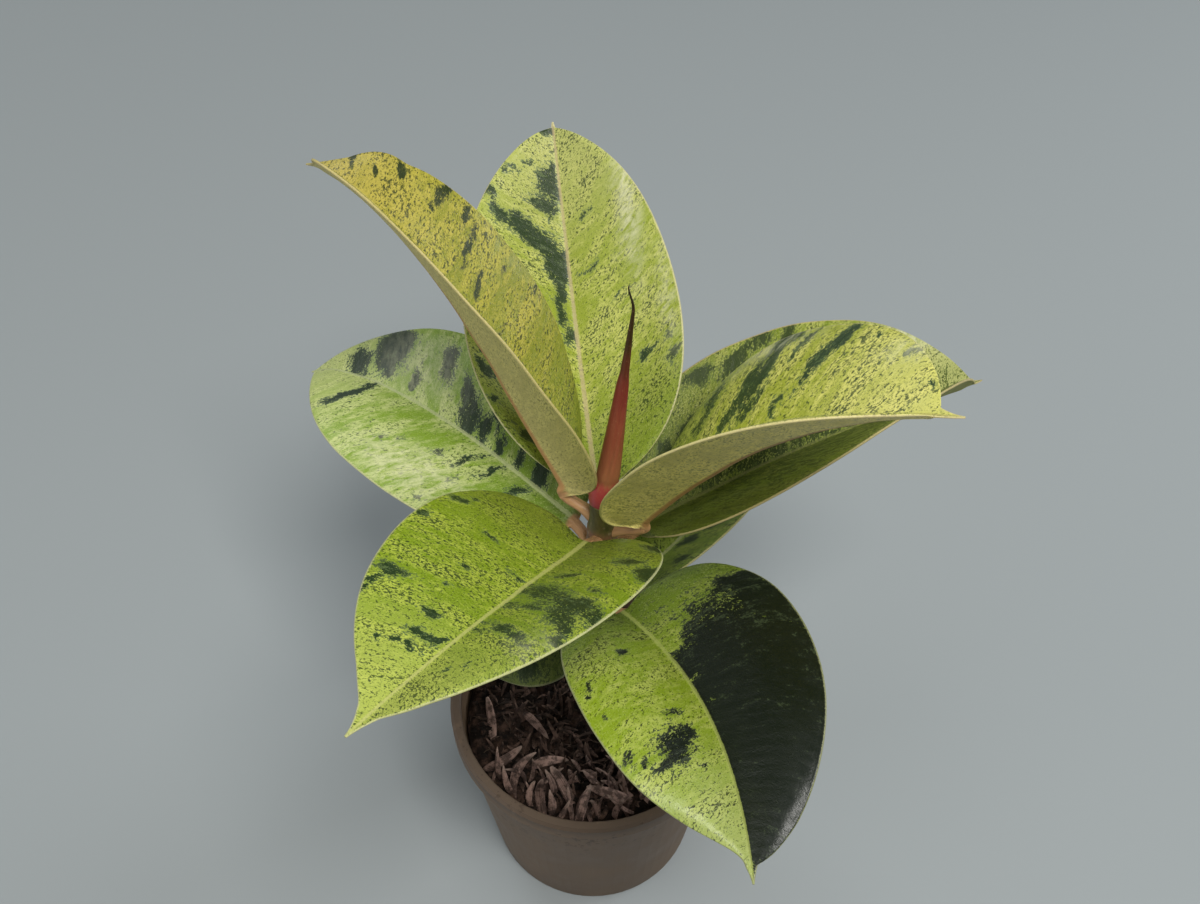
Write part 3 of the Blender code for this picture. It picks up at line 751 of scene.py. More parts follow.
def midrib_points(leaf, share):
    """The midrib's line: short steps along its direction, added up from the blade's base."""
    steps = 400
    middle = (np.arange(steps) + 0.5) / steps
    along = leaf_axes(leaf, middle)[0]
    heading = np.radians(leaf["heading"])
    start = stem_point((leaf["height"] - 4) * MM) + np.array([0, 0, 4 * MM])
    start = start + STALK_REACH * np.array([np.cos(heading), np.sin(heading), 0])
    line = np.vstack([start, start + np.cumsum(along, axis=0) * leaf["length"] * MM / steps])
    ends = np.arange(steps + 1) / steps
    return np.stack([np.interp(share, ends, line[:, i]) for i in range(3)], axis=-1)


def half_width(leaf, share, side):
    """Half width of one side in millimetres: half an ellipse to the widest place, then a curve
    that ends blunt or slim, and a drip tip that widens with the square of its length."""
    body_share = np.minimum(1, share / (1 - leaf["tip"] / leaf["length"])) ** leaf["shift"]
    before = (WIDEST_PLACE - body_share) / WIDEST_PLACE
    after = (body_share - WIDEST_PLACE) / (1 - WIDEST_PLACE)
    u = np.where(body_share < WIDEST_PLACE, before, after)
    power = np.where(body_share < WIDEST_PLACE, 0.5, 0.5 + leaf["blunt_" + side] * u * u)
    body = leaf["half_width"] * np.maximum(0, 1 - u * u) ** power
    body = body * (1 - 0.5 * leaf["slim_" + side] * np.maximum(0, (share - 0.6) / 0.4) ** 2)
    left_over = (1 - share) * leaf["length"]
    tip = 0.30 + 0.17 * left_over + 0.045 * left_over**2
    tip = tip * np.clip((2.2 * leaf["tip"] - left_over) / (1.2 * leaf["tip"]), 0, 1)
    least = STALK_RADIUS * (1 - smooth(share, 0, 0.06))
    return np.maximum(np.hypot(body, tip), least)


def places_across():
    """Places from one rim, -1, to the other, 1, closer together at the midrib and at the rims."""
    reach = 0.5 - 0.5 * np.cos(np.pi * np.linspace(0, 1, HALF_PLACES + 1))
    return np.concatenate([-reach[:0:-1], reach])


def blade_rings(name, leaf, number):
    """The blade's rings, and the fields that its finish reads.

    Across, each half starts at its fold angle and bends by its curl. The crease is rounded, the
    rim waves a little, and the skin below lies under the skin above by the blade's thickness plus
    the midrib's bell curve. Near the base both skins turn into the stalk's circle.
    """
    share = 0.5 - 0.5 * np.cos(np.pi * (np.arange(BLADE_RINGS) + 4) / (BLADE_RINGS + 3.35))
    along, left, up = leaf_axes(leaf, share)
    middle = midrib_points(leaf, share)[:, None]
    left_width = half_width(leaf, share, "left")[:, None]
    right_width = half_width(leaf, share, "right")[:, None]
    share = share[:, None]
    from_base = share * leaf["length"]
    taper = 1 - share
    v = places_across()
    on_left = np.where(v >= 0, 1.0, 0.0)
    width = np.where(v >= 0, left_width, right_width)
    x = width * v

    # The middle skin, folded, curled, waved and turned down at the rim
    fold = on_left * leaf["fold_left"] + (1 - on_left) * leaf["fold_right"]
    fold = np.radians(fold * (1 - leaf["unfold"] * share))
    curl = np.radians(on_left * leaf["curl_left"] + (1 - on_left) * leaf["curl_right"]) + 1e-5
    bent = fold + curl * np.abs(v)
    out = (np.sin(bent) - np.sin(fold)) / curl * np.sign(v)
    lift = (np.cos(fold) - np.cos(bent)) / curl
    soft = np.sqrt(x * x + CREASE**2) - np.abs(x) - CREASE * np.exp(-np.abs(x) / 6)
    wave = lattice(from_base + 0 * v, 40 * number + 9 * np.sign(v) + 0 * share, WAVE_LENGTH, 31)
    wave = wave * v**4 * np.minimum(1, width / 12)
    swell = lattice(from_base, v * 17 + 31 * number, SWELL_LENGTH, 32)
    swell = swell * (1 - v * v) * np.minimum(1, width / 9)
    depth, start = TURN_DOWN.get(name, LITTLE_TURN_DOWN)
    turn_down = depth * np.maximum(0, (np.abs(v) - start) / (1 - start)) ** 2 * np.minimum(1, width / 12)
    height = width * lift + soft * np.tan(fold) - turn_down
    height = height + WAVE_DEPTH * wave + SWELL_DEPTH * swell
    skin = middle + MM * ((width * out)[..., None] * left[:, None] + height[..., None] * up[:, None])

    # Its normals, which turn to the stalk's upright near the base
    base = 1 - smooth(from_base, 0, 3.0)
    normal = np.cross(np.gradient(skin, axis=0), np.gradient(skin, axis=1))
    normal = normal / np.maximum(np.linalg.norm(normal, axis=-1, keepdims=True), 1e-12)
    normal = normal * (1 - base[..., None]) + up[:, None] * base[..., None]
    normal = normal / np.linalg.norm(normal, axis=-1, keepdims=True)

    # How far the skin above and the skin below lie from it
    slim = np.minimum(1, np.maximum(LEAST_THICKNESS, 4 * width / leaf["half_width"]))
    to_rim = width - np.abs(x)
    near_rim = np.clip(to_rim / EDGE_ROUNDING, 0, 1)
    edge = np.sqrt(near_rim * (2 - near_rim))
    rib = RIB_DEPTH * taper + RIB_DEPTH_AT_STALK * base
    rib = rib * np.exp(-(x / (0.45 + 0.6 * taper)) ** 2) * slim
    bead = BEAD_HEIGHT * np.exp(-((to_rim - 0.45) / 0.3) ** 2)
    ridge = RIDGE_HEIGHT * np.exp(-(x / 0.45) ** 2) * (0.3 + 0.7 * taper)
    thickness = (RIM_THICKNESS + (BLADE_THICKNESS - RIM_THICKNESS) * smooth(to_rim, 0.4, 7)) * slim
    above = (bead + ridge) * slim * edge - 0.5 * thickness * (1 - edge)
    below = -0.5 * thickness * (1 + edge) - rib - bead * slim * edge
    circle = STALK_RADIUS * np.sqrt(np.maximum(0, 1 - (x / STALK_RADIUS) ** 2))
    roundness = 1 - smooth(from_base, 0.0, 2.2)
    above = above * (1 - roundness) + (circle - STALK_RADIUS) * roundness
    below = below * (1 - roundness) + (-circle - STALK_RADIUS) * roundness
    upper = skin + MM * above[..., None] * normal
    lower = skin + MM * below[..., None] * normal

    def both(value, more_below=0.0):
        """The value on the skin above, and with more added to it on the skin below."""
        value = value + 0 * x
        return np.concatenate([value, value[:, -2:0:-1] + more_below], axis=1)

    # The fields: place along and across the side veins, pattern number; distance to the rim,
    # distance from the midrib in its own breadths, under face or not; share of stalk
    down_vein = from_base - VEIN_SLANT * np.abs(x) - VEIN_CURVE * x * x
    vein = [both(down_vein), both(x), both(0 * x + PATTERN_STEP * number, UNDER_STEP)]
    edge_fields = [both(to_rim), both(np.abs(x) / (0.32 + 0.38 * taper)), both(0 * x, 1.0)]
    stalk = both(roundness * np.exp(-(x / 3.0) ** 2))
    grid = np.concatenate([upper, lower[:, -2:0:-1]], axis=1)
    return grid, np.stack(vein, axis=-1), np.stack(edge_fields, axis=-1), stalk


def stalk_rings(leaf, number):
    """The stalk's rings: a circle along a Bezier curve from inside the stem to the blade's base,
    thicker at its foot and with a shallow channel on top."""
    along, left, up = leaf_axes(leaf, np.array(0.0))
    joint = stem_point((leaf["height"] - leaf["drop"]) * MM)
    end = midrib_points(leaf, np.array([0.0]))[0]
    away = end - joint
    level = np.array([away[0], away[1], 0]) / np.hypot(away[0], away[1])
    start = joint + level * (stem_radius(joint[2]) - 0.6 * MM)
    end = end - up * STALK_RADIUS * MM
    leave = level + np.array([0, 0, STALK_RISE])
    leave = leave / np.linalg.norm(leave)
    pull = np.linalg.norm(end - start) * STALK_BEND
    t = (np.arange(STALK_RINGS) / STALK_RINGS)[:, None]
    path = (1 - t) ** 3 * start + 3 * (1 - t) ** 2 * t * (start + leave * pull)
    path = path + 3 * (1 - t) * t * t * (end - along * pull) + t**3 * end
    heading = (1 - t) * leave + t * along
    heading = heading / np.linalg.norm(heading, axis=1, keepdims=True)
    side = left - heading * (heading @ left)[:, None]
    side = side / np.linalg.norm(side, axis=1, keepdims=True)
    crown = np.cross(heading, side)
    v = places_across()
    rise = np.sqrt(np.maximum(0, 1 - v * v))
    places = np.concatenate([v, v[-2:0:-1]])[:, None]
    channel = CHANNEL_DEPTH * np.exp(-(v / 0.3) ** 2)
    heights = np.concatenate([rise - channel, -rise[-2:0:-1]])[:, None]
    girth = 1 + FOOT_SWELL * (1 - smooth(t, 0, 0.45)) - 0.05 * np.sin(np.pi * t)
    radius = STALK_RADIUS * girth * MM
    section = places * side[:, None] + heights * crown[:, None]
    grid = path[:, None] + radius[..., None] * section
    down_vein = np.broadcast_to(10 * (t - 1), grid.shape[:2])
    vein = [down_vein, 0 * down_vein + places[:, 0] * STALK_RADIUS, 0 * down_vein + PATTERN_STEP * number]
    edge_fields = np.zeros(grid.shape)
    edge_fields[..., 0] = FAR_FROM_RIM
    return grid, np.stack(vein, axis=-1), edge_fields


def patches(marks, leaf, vein):
    """How strong the leaf's marks are at a place: the strongest of them there.

    A mark has its share of the length, its share of the half width, its half length along the
    side veins, its half width across them and its strength; it fades as exp(-distance^2.4), and it
    stays on its own side of the midrib. Marks of negative strength clear what they cover. Random
    shifts of every place bend the outlines.
    """
    q, x = vein[..., 0], vein[..., 1]
    shifted_q = q + 0.9 * lattice(q, x, 3.1, 41) + 0.5 * lattice(q, x, 1.5, 42)
    shifted_x = x + 1.5 * lattice(q, x, 3.7, 43) + 0.8 * lattice(q, x, 1.7, 44)
    field = 0 * q
    cleared = 0 * q
    for share, v, reach, breadth, strength in marks:
        middle_x = v * half_width(leaf, share, "left" if v > 0 else "right")
        middle_q = share * leaf["length"] - VEIN_SLANT * abs(middle_x) - VEIN_CURVE * middle_x**2
        far = ((shifted_x - middle_x) / reach) ** 2 + ((shifted_q - middle_q) / breadth) ** 2
        spot = abs(strength) * np.exp(-far**1.2) * (np.sign(v) * x > -0.05)
        if strength > 0:
            field = np.maximum(field, spot)
        else:
            cleared = np.maximum(cleared, spot)
    return field - cleared


# Each leaf's dark patches, and on leaf_right also painted shade, as marks read by patches: share of the
# length, share of the half width (positive on the left), reach and breadth in mm, strength
MARKS = {
    "leaf_front_left": [
        (0.43, 0.2, 11, 4.5, 0.8), (0.51, 0.6, 9, 4, 1), (0.50, 0.05, 3, 3, 0.7),
        (0.57, 0.65, 6, 3.5, 0.9), (0.56, 0.9, 4.5, 3.5, 0.9), (0.61, 0.8, 4.5, 2, 1),
        (0.66, 0.9, 3, 2, 1.1), (0.52, 0.3, 4, 2.5, 0.9), (0.62, 0.25, 4, 2, 1.2),
        (0.65, 0.5, 3, 1.5, 1.1), (0.68, 0.7, 2.5, 1, 1), (0.63, 0.05, 2, 1, 0.9),
        (0.77, 0.5, 1, 1, 1.2), (0.79, 0.3, 1, 1, 0.9), (0.15, 0.95, 4, 3, 1.1),
        (0.35, 0.95, 4, 4, 1.2), (0.26, 0.7, 4, 3, 0.9), (0.30, 1, 1.5, 4, 1),
        (0.33, 0.25, 4.5, 2, 0.9), (0.44, 0.7, 2.5, 1.5, 0.8), (0.66, -0.8, 3.5, 2.5, 1),
        (0.71, -0.9, 1.5, 2.5, 0.9), (0.74, -0.95, 1, 1.5, 1), (0.73, -0.15, 2, 1.5, 1.2),
        (0.73, -0.3, 2, 1.5, 1.1), (0.71, -0.05, 1, 1.5, 1.2), (0.77, -0.3, 1.5, 1, 1.1),
        (0.78, -0.4, 1.5, 1, 1.2), (0.81, -0.7, 1, 1, 1.2), (0.77, -0.2, 1.5, 0.5, 1),
        (0.67, -0.3, 2, 1, 1.2), (0.58, -0.4, 1.5, 1, 1), (0.50, -0.4, 1, 1, 1.1),
        (0.39, -0.1, 2, 1.5, 0.8), (0.32, -0.9, 1.5, 2, 1), (0.46, -0.95, 1, 1.5, 1.2),
        (0.27, -0.9, 1, 1.5, 0.9), (0.34, -0.45, 2, 1.5, 0.8),
    ],
    "leaf_front_right": [
        (0.70, 0.55, 22, 30, 3.2), (0.40, 0.9, 7, 7.5, 1.9), (0.28, 0.85, 6.5, 3.5, 1.7),
        (0.27, 0.5, 7.5, 5.5, 0.7), (0.51, 0.7, 10.5, 8, 2.2), (0.37, 0.35, 6.5, 8, 1.1),
        (0.36, 0.05, 3, 3.5, 1), (0.65, -0.4, 5, 5, 1.2), (0.70, -0.55, 2.5, 2, 1.1),
        (0.61, -0.25, 3, 2.5, 1.1), (0.69, -0.7, 1, 1, 1.2), (0.43, -0.85, 1, 2, 1.3),
        (0.47, -0.9, 0.5, 1, 1.2), (0.68, -0.9, 1.5, 2, 0.9), (0.71, -0.25, 1, 0.5, 1.1),
        (0.29, -0.45, 2, 1, 1.1), (0.55, -0.85, 0.5, 1, 1), (0.54, -0.3, 2.5, 1, 0.8),
        (0.52, 0.1, 3.5, 1.5, -1.5), (0.42, 0.05, 2, 1.5, -1.2), (0.24, 0.1, 3, 4, -1),
        (0.61, 0.85, 3.5, 1.5, -0.4), (0.42, 0.85, 3.5, 1.5, -0.4), (0.43, 0.7, 4.5, 1, -0.4),
    ],
    "leaf_top_right": [
        (0.46, 0.75, 11, 2.5, 1.2), (0.48, 0.95, 4, 2.5, 1.2), (0.40, 0.65, 6, 2.5, 1.2),
        (0.35, 0.45, 4, 2, 1), (0.53, 0.95, 2.5, 2, 1.1), (0.67, 0.85, 4, 2.5, 1.3),
        (0.62, 0.65, 4.5, 2, 1.2), (0.59, 0.45, 3, 1, 1.1), (0.57, 0.9, 3, 1.5, 1.1),
        (0.54, 0.75, 2.5, 1, 1), (0.52, 0.3, 3.5, 1, 1), (0.42, 0.4, 3.5, 1.5, 1.1),
        (0.46, 0.5, 3.5, 1, 1), (0.55, 0.4, 2, 0.5, 1), (0.75, 0.85, 1.5, 0.5, 1),
        (0.80, 0.65, 1, 0.5, 1.1), (0.85, 0.85, 2, 1, 1), (0.91, 0.7, 0.5, 1, 1.2),
        (0.27, 0.8, 5, 3.5, 0.8), (0.24, 0.65, 3.5, 3, 0.8),
    ],
    "leaf_left": [
        (0.82, -0.25, 5.5, 4.5, 1.2), (0.75, -0.5, 8, 5, 1.5), (0.74, -0.7, 4.5, 3.5, 1.4),
        (0.70, -0.2, 2.5, 2, 1.4), (0.62, -0.2, 3, 1.5, 1.4), (0.57, -0.55, 5, 2.5, 1.1),
        (0.47, -0.35, 4, 2, 1.4), (0.41, -0.15, 6, 3.5, 1.1), (0.35, -0.1, 4, 2, 1.3),
        (0.29, -0.1, 4, 2, 1.1), (0.15, -0.15, 4.5, 2.5, 1.6), (0.22, -0.15, 4.5, 1.5, 1.1),
        (0.35, -0.35, 4.5, 2, 1), (0.74, 0.4, 7, 1.5, 1.4), (0.54, 0.6, 1.5, 1, 1.2),
        (0.32, 0.25, 7, 1, 1.1), (0.30, 0.5, 3, 1, 0.9), (0.33, 0.9, 1, 1, 1.2), (0.25, 0.2, 5, 1, 1),
        (0.16, 0.2, 4.5, 1.5, 0.9), (0.39, 0.35, 3.5, 1, 0.9), (0.50, 0.45, 1.5, 1, 1),
    ],
    "leaf_back": [
        (0.98, 0.1, 2.5, 2, 1.6), (0.82, 0.95, 2, 2, 1.3), (0.76, 0.7, 2.5, 2.5, 1.3),
        (0.73, 0.45, 4, 3, 1.3), (0.68, 0.25, 4.5, 4, 1.4), (0.62, 0.1, 3.5, 5, 1.3),
        (0.55, 0.1, 2, 5, 1.2), (0.49, 0.1, 1.5, 4.5, 1.1), (0.43, 0.05, 1.5, 3.5, 0.9),
        (0.83, 0.15, 3.5, 5, 1.2), (0.79, 0.25, 3.5, 2, 1.1), (0.87, 0.05, 1.5, 3.5, 1.1),
        (0.76, 0.1, 1.5, 2.5, 0.9), (0.88, 0.75, 2.5, 1, 0.9), (0.90, 0.6, 1.5, 1, 0.9),
        (0.87, 0.8, 1, 1, 1), (0.32, 0.9, 3, 2, 1.4), (0.29, 0.85, 2, 1.5, 1.3), (0.12, 0.7, 4, 2, 1.4),
        (0.11, 0.6, 2.5, 1.5, 1.3), (0.22, 0.9, 2.5, 1.5, 1), (0.36, 0.85, 2, 1, 0.9),
        (0.74, -0.3, 2.5, 1, 0.9), (0.60, -0.25, 2.5, 1, 0.9), (0.59, -0.1, 1.5, 1, 0.8),
        (0.31, -0.6, 2, 1.5, 1.2), (0.29, -0.9, 1.5, 2.5, 0.9), (0.35, -0.85, 1.5, 1.5, 0.8),
        (0.33, -0.7, 1.5, 1, 0.9), (0.49, -0.4, 1.5, 0.5, 0.8),
    ],
    "leaf_top_left": [
        (0.80, -0.75, 2.5, 1.5, 1.5), (0.71, -0.9, 3, 1.5, 1.3), (0.70, -0.6, 1, 1, 1.4),
        (0.64, -0.75, 2.5, 1, 1.4), (0.59, -0.55, 4, 1, 1.4), (0.52, -0.4, 4, 1, 1.3),
        (0.50, -0.25, 2, 1, 1.2), (0.89, -0.6, 1, 1, 1.3), (0.84, -0.55, 1, 1, 1.3),
        (0.49, -0.65, 1.5, 0.5, 1.1), (0.43, -1, 1.5, 1, 1), (0.75, -0.75, 1, 0.5, 1.2),
        (0.40, -0.25, 1.5, 0.5, 1), (0.30, -0.2, 1.5, 1, 0.9),
    ],
    "leaf_right": [
        (0.46, 0.95, 3.5, 4, 1.1), (0.38, 0.85, 4, 4, 1.2), (0.29, 0.9, 3, 4.5, 1.2),
        (0.53, 0.95, 3.5, 2.5, 1), (0.22, 0.55, 3.5, 4, 1.1), (0.14, 0.55, 2.5, 2.5, 1.2),
        (0.35, 1, 2, 1.5, -0.9), (0.40, 1, 2.5, 1, -0.9), (0.26, 0.75, 1, 4.5, -0.7),
        # The last two marks are painted shade, not patches: a weak dark wash over the near half and along
        # the midrib, where leaf_top_right shades this leaf
        (0.45, -0.4, 30, 60, 0.6), (0.45, 0.1, 7, 60, 0.7),
    ],
    "leaf_low_right": [
        (0.36, -0.3, 5, 2.5, 1), (0.50, -0.6, 4, 2.5, 0.9), (0.42, 0.3, 4.5, 2.5, 1),
        (0.62, 0.2, 4, 2, 0.9), (0.25, -0.7, 3.5, 2, 0.9), (0.70, -0.35, 3, 1.5, 0.9),
    ],
    "leaf_low_left": [
        (0.55, 0.5, 6, 4, 1), (0.35, -0.4, 5, 3, 0.9), (0.72, -0.3, 3, 2, 0.8),
    ],
}

# Looks of each leaf: colours of its green and its paler ground, and of the ground near its foot
# and near its tip, how thick the fine specks are, colours of its patches where strong and where
# weak, of its under face, of the rim and of the midrib above and below; and where they differ
# from the other leaves', its gloss and how wide its midrib's colour reaches
LOOKS = {
    # The under faces of leaf_top_left and leaf_top_right are given paler tans than the others': their own
    # tan brightened with painted light
    "leaf_top_left": dict(
        green=(0.190, 0.205, 0.012), pale=(0.370, 0.330, 0.040), foot=(0.150, 0.190, 0.016),
        tip=(0.470, 0.370, 0.075), specks=0.88, dark=(0.022, 0.032, 0.005), grey=(0.130, 0.130, 0.022),
        below=(0.470, 0.410, 0.150), rim=(0.500, 0.420, 0.180), rib=(0.38, 0.34, 0.10),
        rib_below=(0.40, 0.19, 0.07),
    ),
    "leaf_top_right": dict(
        green=(0.300, 0.340, 0.026), pale=(0.580, 0.570, 0.130), foot=(0.210, 0.280, 0.040),
        tip=(0.640, 0.610, 0.180), specks=1.05, dark=(0.018, 0.040, 0.008), grey=(0.095, 0.140, 0.040),
        below=(0.700, 0.600, 0.190), rim=(0.560, 0.480, 0.240), rib=(0.42, 0.38, 0.13),
        rib_below=(0.36, 0.16, 0.06),
    ),
    "leaf_front_left": dict(
        green=(0.165, 0.245, 0.006), pale=(0.350, 0.420, 0.045), foot=(0.160, 0.210, 0.016),
        tip=(0.440, 0.480, 0.110), specks=1.15, dark=(0.014, 0.032, 0.006), grey=(0.095, 0.140, 0.045),
        below=(0.30, 0.31, 0.08), rim=(0.420, 0.420, 0.200), rib=(0.44, 0.45, 0.14),
        rib_below=(0.30, 0.16, 0.06),
    ),
    "leaf_back": dict(
        green=(0.270, 0.330, 0.026), pale=(0.500, 0.520, 0.125), foot=(0.170, 0.240, 0.020),
        tip=(0.470, 0.480, 0.160), specks=0.90, dark=(0.022, 0.042, 0.010), grey=(0.125, 0.170, 0.065),
        below=(0.34, 0.34, 0.11), rim=(0.500, 0.460, 0.240), rib=(0.420, 0.340, 0.170),
        rib_below=(0.30, 0.15, 0.06), rib_reach=1.5,
    ),
    # The foot colour of leaf_front_right is far darker than its green: painted shadow cast on it by
    # leaf_front_left
    "leaf_front_right": dict(
        green=(0.205, 0.290, 0.012), pale=(0.370, 0.430, 0.080), foot=(0.070, 0.115, 0.008),
        tip=(0.380, 0.430, 0.150), specks=0.80, dark=(0.004, 0.008, 0.003), grey=(0.042, 0.060, 0.026),
        below=(0.28, 0.30, 0.09), rim=(0.24, 0.25, 0.11), rib=(0.32, 0.37, 0.09),
        rib_below=(0.26, 0.15, 0.06), gloss=0.5,
    ),
    "leaf_left": dict(
        green=(0.190, 0.300, 0.022), pale=(0.470, 0.530, 0.190), foot=(0.100, 0.160, 0.020),
        tip=(0.560, 0.600, 0.230), specks=0.50, dark=(0.016, 0.032, 0.012), grey=(0.075, 0.115, 0.055),
        below=(0.32, 0.34, 0.12), rim=(0.480, 0.480, 0.260), rib=(0.42, 0.46, 0.22),
        rib_below=(0.28, 0.16, 0.06),
    ),
    # leaf_right lies in the shade of leaf_top_right: its green, foot and midrib colours are darkened,
    # painted shade
    "leaf_right": dict(
        green=(0.150, 0.200, 0.012), pale=(0.330, 0.350, 0.080), foot=(0.080, 0.110, 0.012),
        tip=(0.480, 0.480, 0.200), specks=0.90, dark=(0.030, 0.046, 0.009), grey=(0.095, 0.125, 0.026),
        below=(0.28, 0.29, 0.08), rim=(0.42, 0.35, 0.17), rib=(0.140, 0.150, 0.050),
        rib_below=(0.30, 0.13, 0.045), gloss=0.1,
    ),
    "leaf_low_right": dict(
        green=(0.130, 0.200, 0.010), pale=(0.260, 0.320, 0.050), foot=(0.080, 0.120, 0.012),
        tip=(0.260, 0.320, 0.070), specks=0.90, dark=(0.016, 0.032, 0.006), grey=(0.060, 0.090, 0.024),
        below=(0.22, 0.25, 0.07), rim=(0.34, 0.31, 0.14), rib=(0.26, 0.28, 0.09),
        rib_below=(0.26, 0.14, 0.05),
    ),
    # leaf_low_left lies in shadow under the other leaves: all its colours are darkened, painted shade
    "leaf_low_left": dict(
        green=(0.050, 0.075, 0.008), pale=(0.090, 0.115, 0.024), foot=(0.040, 0.060, 0.008),
        tip=(0.080, 0.100, 0.024), specks=0.90, dark=(0.010, 0.020, 0.005), grey=(0.030, 0.046, 0.014),
        below=(0.12, 0.14, 0.04), rim=(0.14, 0.14, 0.06), rib=(0.10, 0.12, 0.04),
        rib_below=(0.18, 0.11, 0.04),
    ),
}

LEAF_GLOSS = 0.36
RIB_REACH = 1.2
# The colour of the painted sheen, a painted reflection on the waxy skin
PAINTED_SHEEN_COLOUR = (0.62, 0.62, 0.40)
UNDER_DASHES = (0.10, 0.10, 0.022)
STALK_COLOURS = [(0.30, 0.145, 0.060), (0.50, 0.30, 0.135)]


def leaf_finish(name, look, length):
    """Waxy variegated skin: two grounds clouded along the side veins, fine specks, crumbled dark
    patches with a grey-green fringe, pale rim and midrib, tan under face, orange-brown stalk."""
    finish = Finish(name, Specular_IOR_Level=look.get("gloss", LEAF_GLOSS))
    q, x, number = finish.field("vein")
    rim, rib, under = finish.field("edge")
    # The marks: dark patches (on leaf_right also painted shade), painted sheen, and share of stalk
    patch, painted_sheen, stalk = finish.field("mark")
    vein = finish.add("CombineXYZ", {"X": q, "Y": x, "Z": number}).outputs[0]
    clouds = finish.noise(vein, (0.16, 0.07, 1), 3, 0.55)
    mottle = finish.noise(vein, (0.60, 0.30, 1), 4, 0.62, 0.4)
    streaks = finish.noise(vein, (0.9, 0.11, 1), 3, 0.6)
    grit = finish.noise(vein, (1.75, 1.20, 1), 3, 0.66, 0.3)
    fine = finish.noise(vein, (3.3, 2.7, 1), 2, 0.6)

    # Ground: green and pale, with its own colours near the foot and near the tip
    ground = finish.times(streaks, 0.35, finish.times(mottle, 0.8, clouds))
    colour = finish.paint(look["green"], look["pale"], ground, 0.92, 1.24)
    colour = finish.paint(colour, look["green"], grit, 0.44, 0.60, 0.65)
    colour = finish.paint(colour, look["foot"], q, 0.33 * length, 0.0, 0.8)
    colour = finish.paint(colour, look["tip"], q, 0.52 * length, 0.92 * length, 0.60)

    # Fine specks of dark green, thicker in some clouds than in others, and paler flecks
    level = finish.times(mottle, 0.20, finish.times(clouds, 0.34, grit))
    start = 0.950 - 0.10 * look["specks"]
    colour = finish.paint(colour, look["dark"], level, start - 0.015, start + 0.025, 0.84)
    level = finish.times(clouds, 0.25, fine)
    start = 0.815 - 0.09 * look["specks"]
    colour = finish.paint(colour, look["dark"], level, start - 0.02, start + 0.03, 0.66)
    colour = finish.paint(colour, look["tip"], fine, 0.42, 0.34, 0.45)

    # Patches: the field is crumbled by the specks, grey-green where weak and dark where strong
    colour = finish.paint(colour, look["grey"], patch, 0.15, 0.9, 0.5)
    crumbled = patch
    for pattern, depth in ((grit, 2.3), (mottle, 1.5), (streaks, 0.6), (fine, 1.5)):
        crumbled = finish.maths("ADD", crumbled, finish.times(pattern, depth, -depth / 2))
    covered = finish.times(finish.step(crumbled, 0.475, 0.525), finish.step(patch, 0.04, 0.16))
    tone = finish.times(mottle, 1.8, patch)
    patch_colour = finish.paint(look["grey"], look["dark"], tone, 1.15, 1.62)
    flecks = finish.times(fine, 0.8, finish.times(streaks, 0.6, mottle))
    flecks = finish.times(patch, -0.055, flecks)
    patch_colour = finish.paint(patch_colour, look["grey"], flecks, 1.24, 1.36, 0.8)
    colour = finish.mix(covered, colour, patch_colour)

    # Painted sheen, whitish where the waxy skin reflects the light, and midrib
    colour = finish.mix(finish.times(painted_sheen, finish.step(mottle, 0.30, 0.62)), colour, PAINTED_SHEEN_COLOUR)
    ragged_rib = finish.maths("ADD", rib, finish.times(fine, 1.2, -0.6))
    colour = finish.paint(colour, look["rib"], ragged_rib, look.get("rib_reach", RIB_REACH), 0.6, 0.72)

    # Tan under face, darker in grains and fine dashes
    dark_below = [0.70 * c for c in look["below"]]
    light_below = [1.30 * c for c in look["below"]]
    below = finish.paint(look["below"], light_below, ground, 0.88, 1.26)
    below = finish.paint(below, dark_below, grit, 0.49, 0.62, 0.60)
    dashes = finish.times(clouds, 0.3, finish.noise(vein, (2.2, 0.8, 1), 4, 0.62))
    below = finish.paint(below, UNDER_DASHES, dashes, 0.71, 0.77, 0.55)
    below = finish.paint(below, look["rib_below"], rib, 2.6, 1.3, 0.85)
    colour = finish.paint(colour, below, under, 0.35, 0.65)

    # Rim and stalk
    ragged_rim = finish.maths("ADD", rim, finish.times(fine, 0.8, -0.4))
    colour = finish.paint(colour, look["rim"], ragged_rim, 0.48, 0.20, 0.78)
    stalk_colour = finish.mix(finish.noise(vein, (0.25, 2.2, 1), 3, 0.6), *STALK_COLOURS)
    colour = finish.paint(colour, stalk_colour, stalk, 0.25, 0.85)

    # Relief: side veins with the mottle, the grit and the fine grain on them
    side_veins = finish.maths("SINE", finish.times(q, 2.4, finish.times(clouds, 5.0)))
    height = finish.times(mottle, 0.7, finish.times(side_veins, 0.11))
    height = finish.times(fine, 0.45, finish.times(grit, 0.7, height))
    rough = finish.times(under, 0.18, finish.step(mottle, 0.3, 0.7, 0.34, 0.48))
    finish.feed(Base_Color=colour, Roughness=rough, Normal=finish.bump(height, 0.22 * MM, 0.6))
    return finish.material


# Painted sheen on some leaves: whitish patches where their waxy skin reflects the light, as marks
PAINTED_SHEEN_MARKS = {
    "leaf_back": [(0.74, -0.80, 4.0, 20.0, 0.75), (0.45, -0.90, 3.0, 14.0, 0.4)],
    "leaf_left": [(0.42, 0.70, 7.0, 16.0, 0.55), (0.62, -0.35, 10.0, 12.0, 0.35)],
    "leaf_top_right": [(0.45, 0.95, 3.5, 14.0, 0.45), (0.85, 0.9, 4.0, 6.0, 0.4)],
    "leaf_front_left": [(0.70, 0.85, 5.0, 6.0, 0.22)],
    "leaf_right": [(0.80, 0.85, 5.0, 14.0, 0.6)],
}

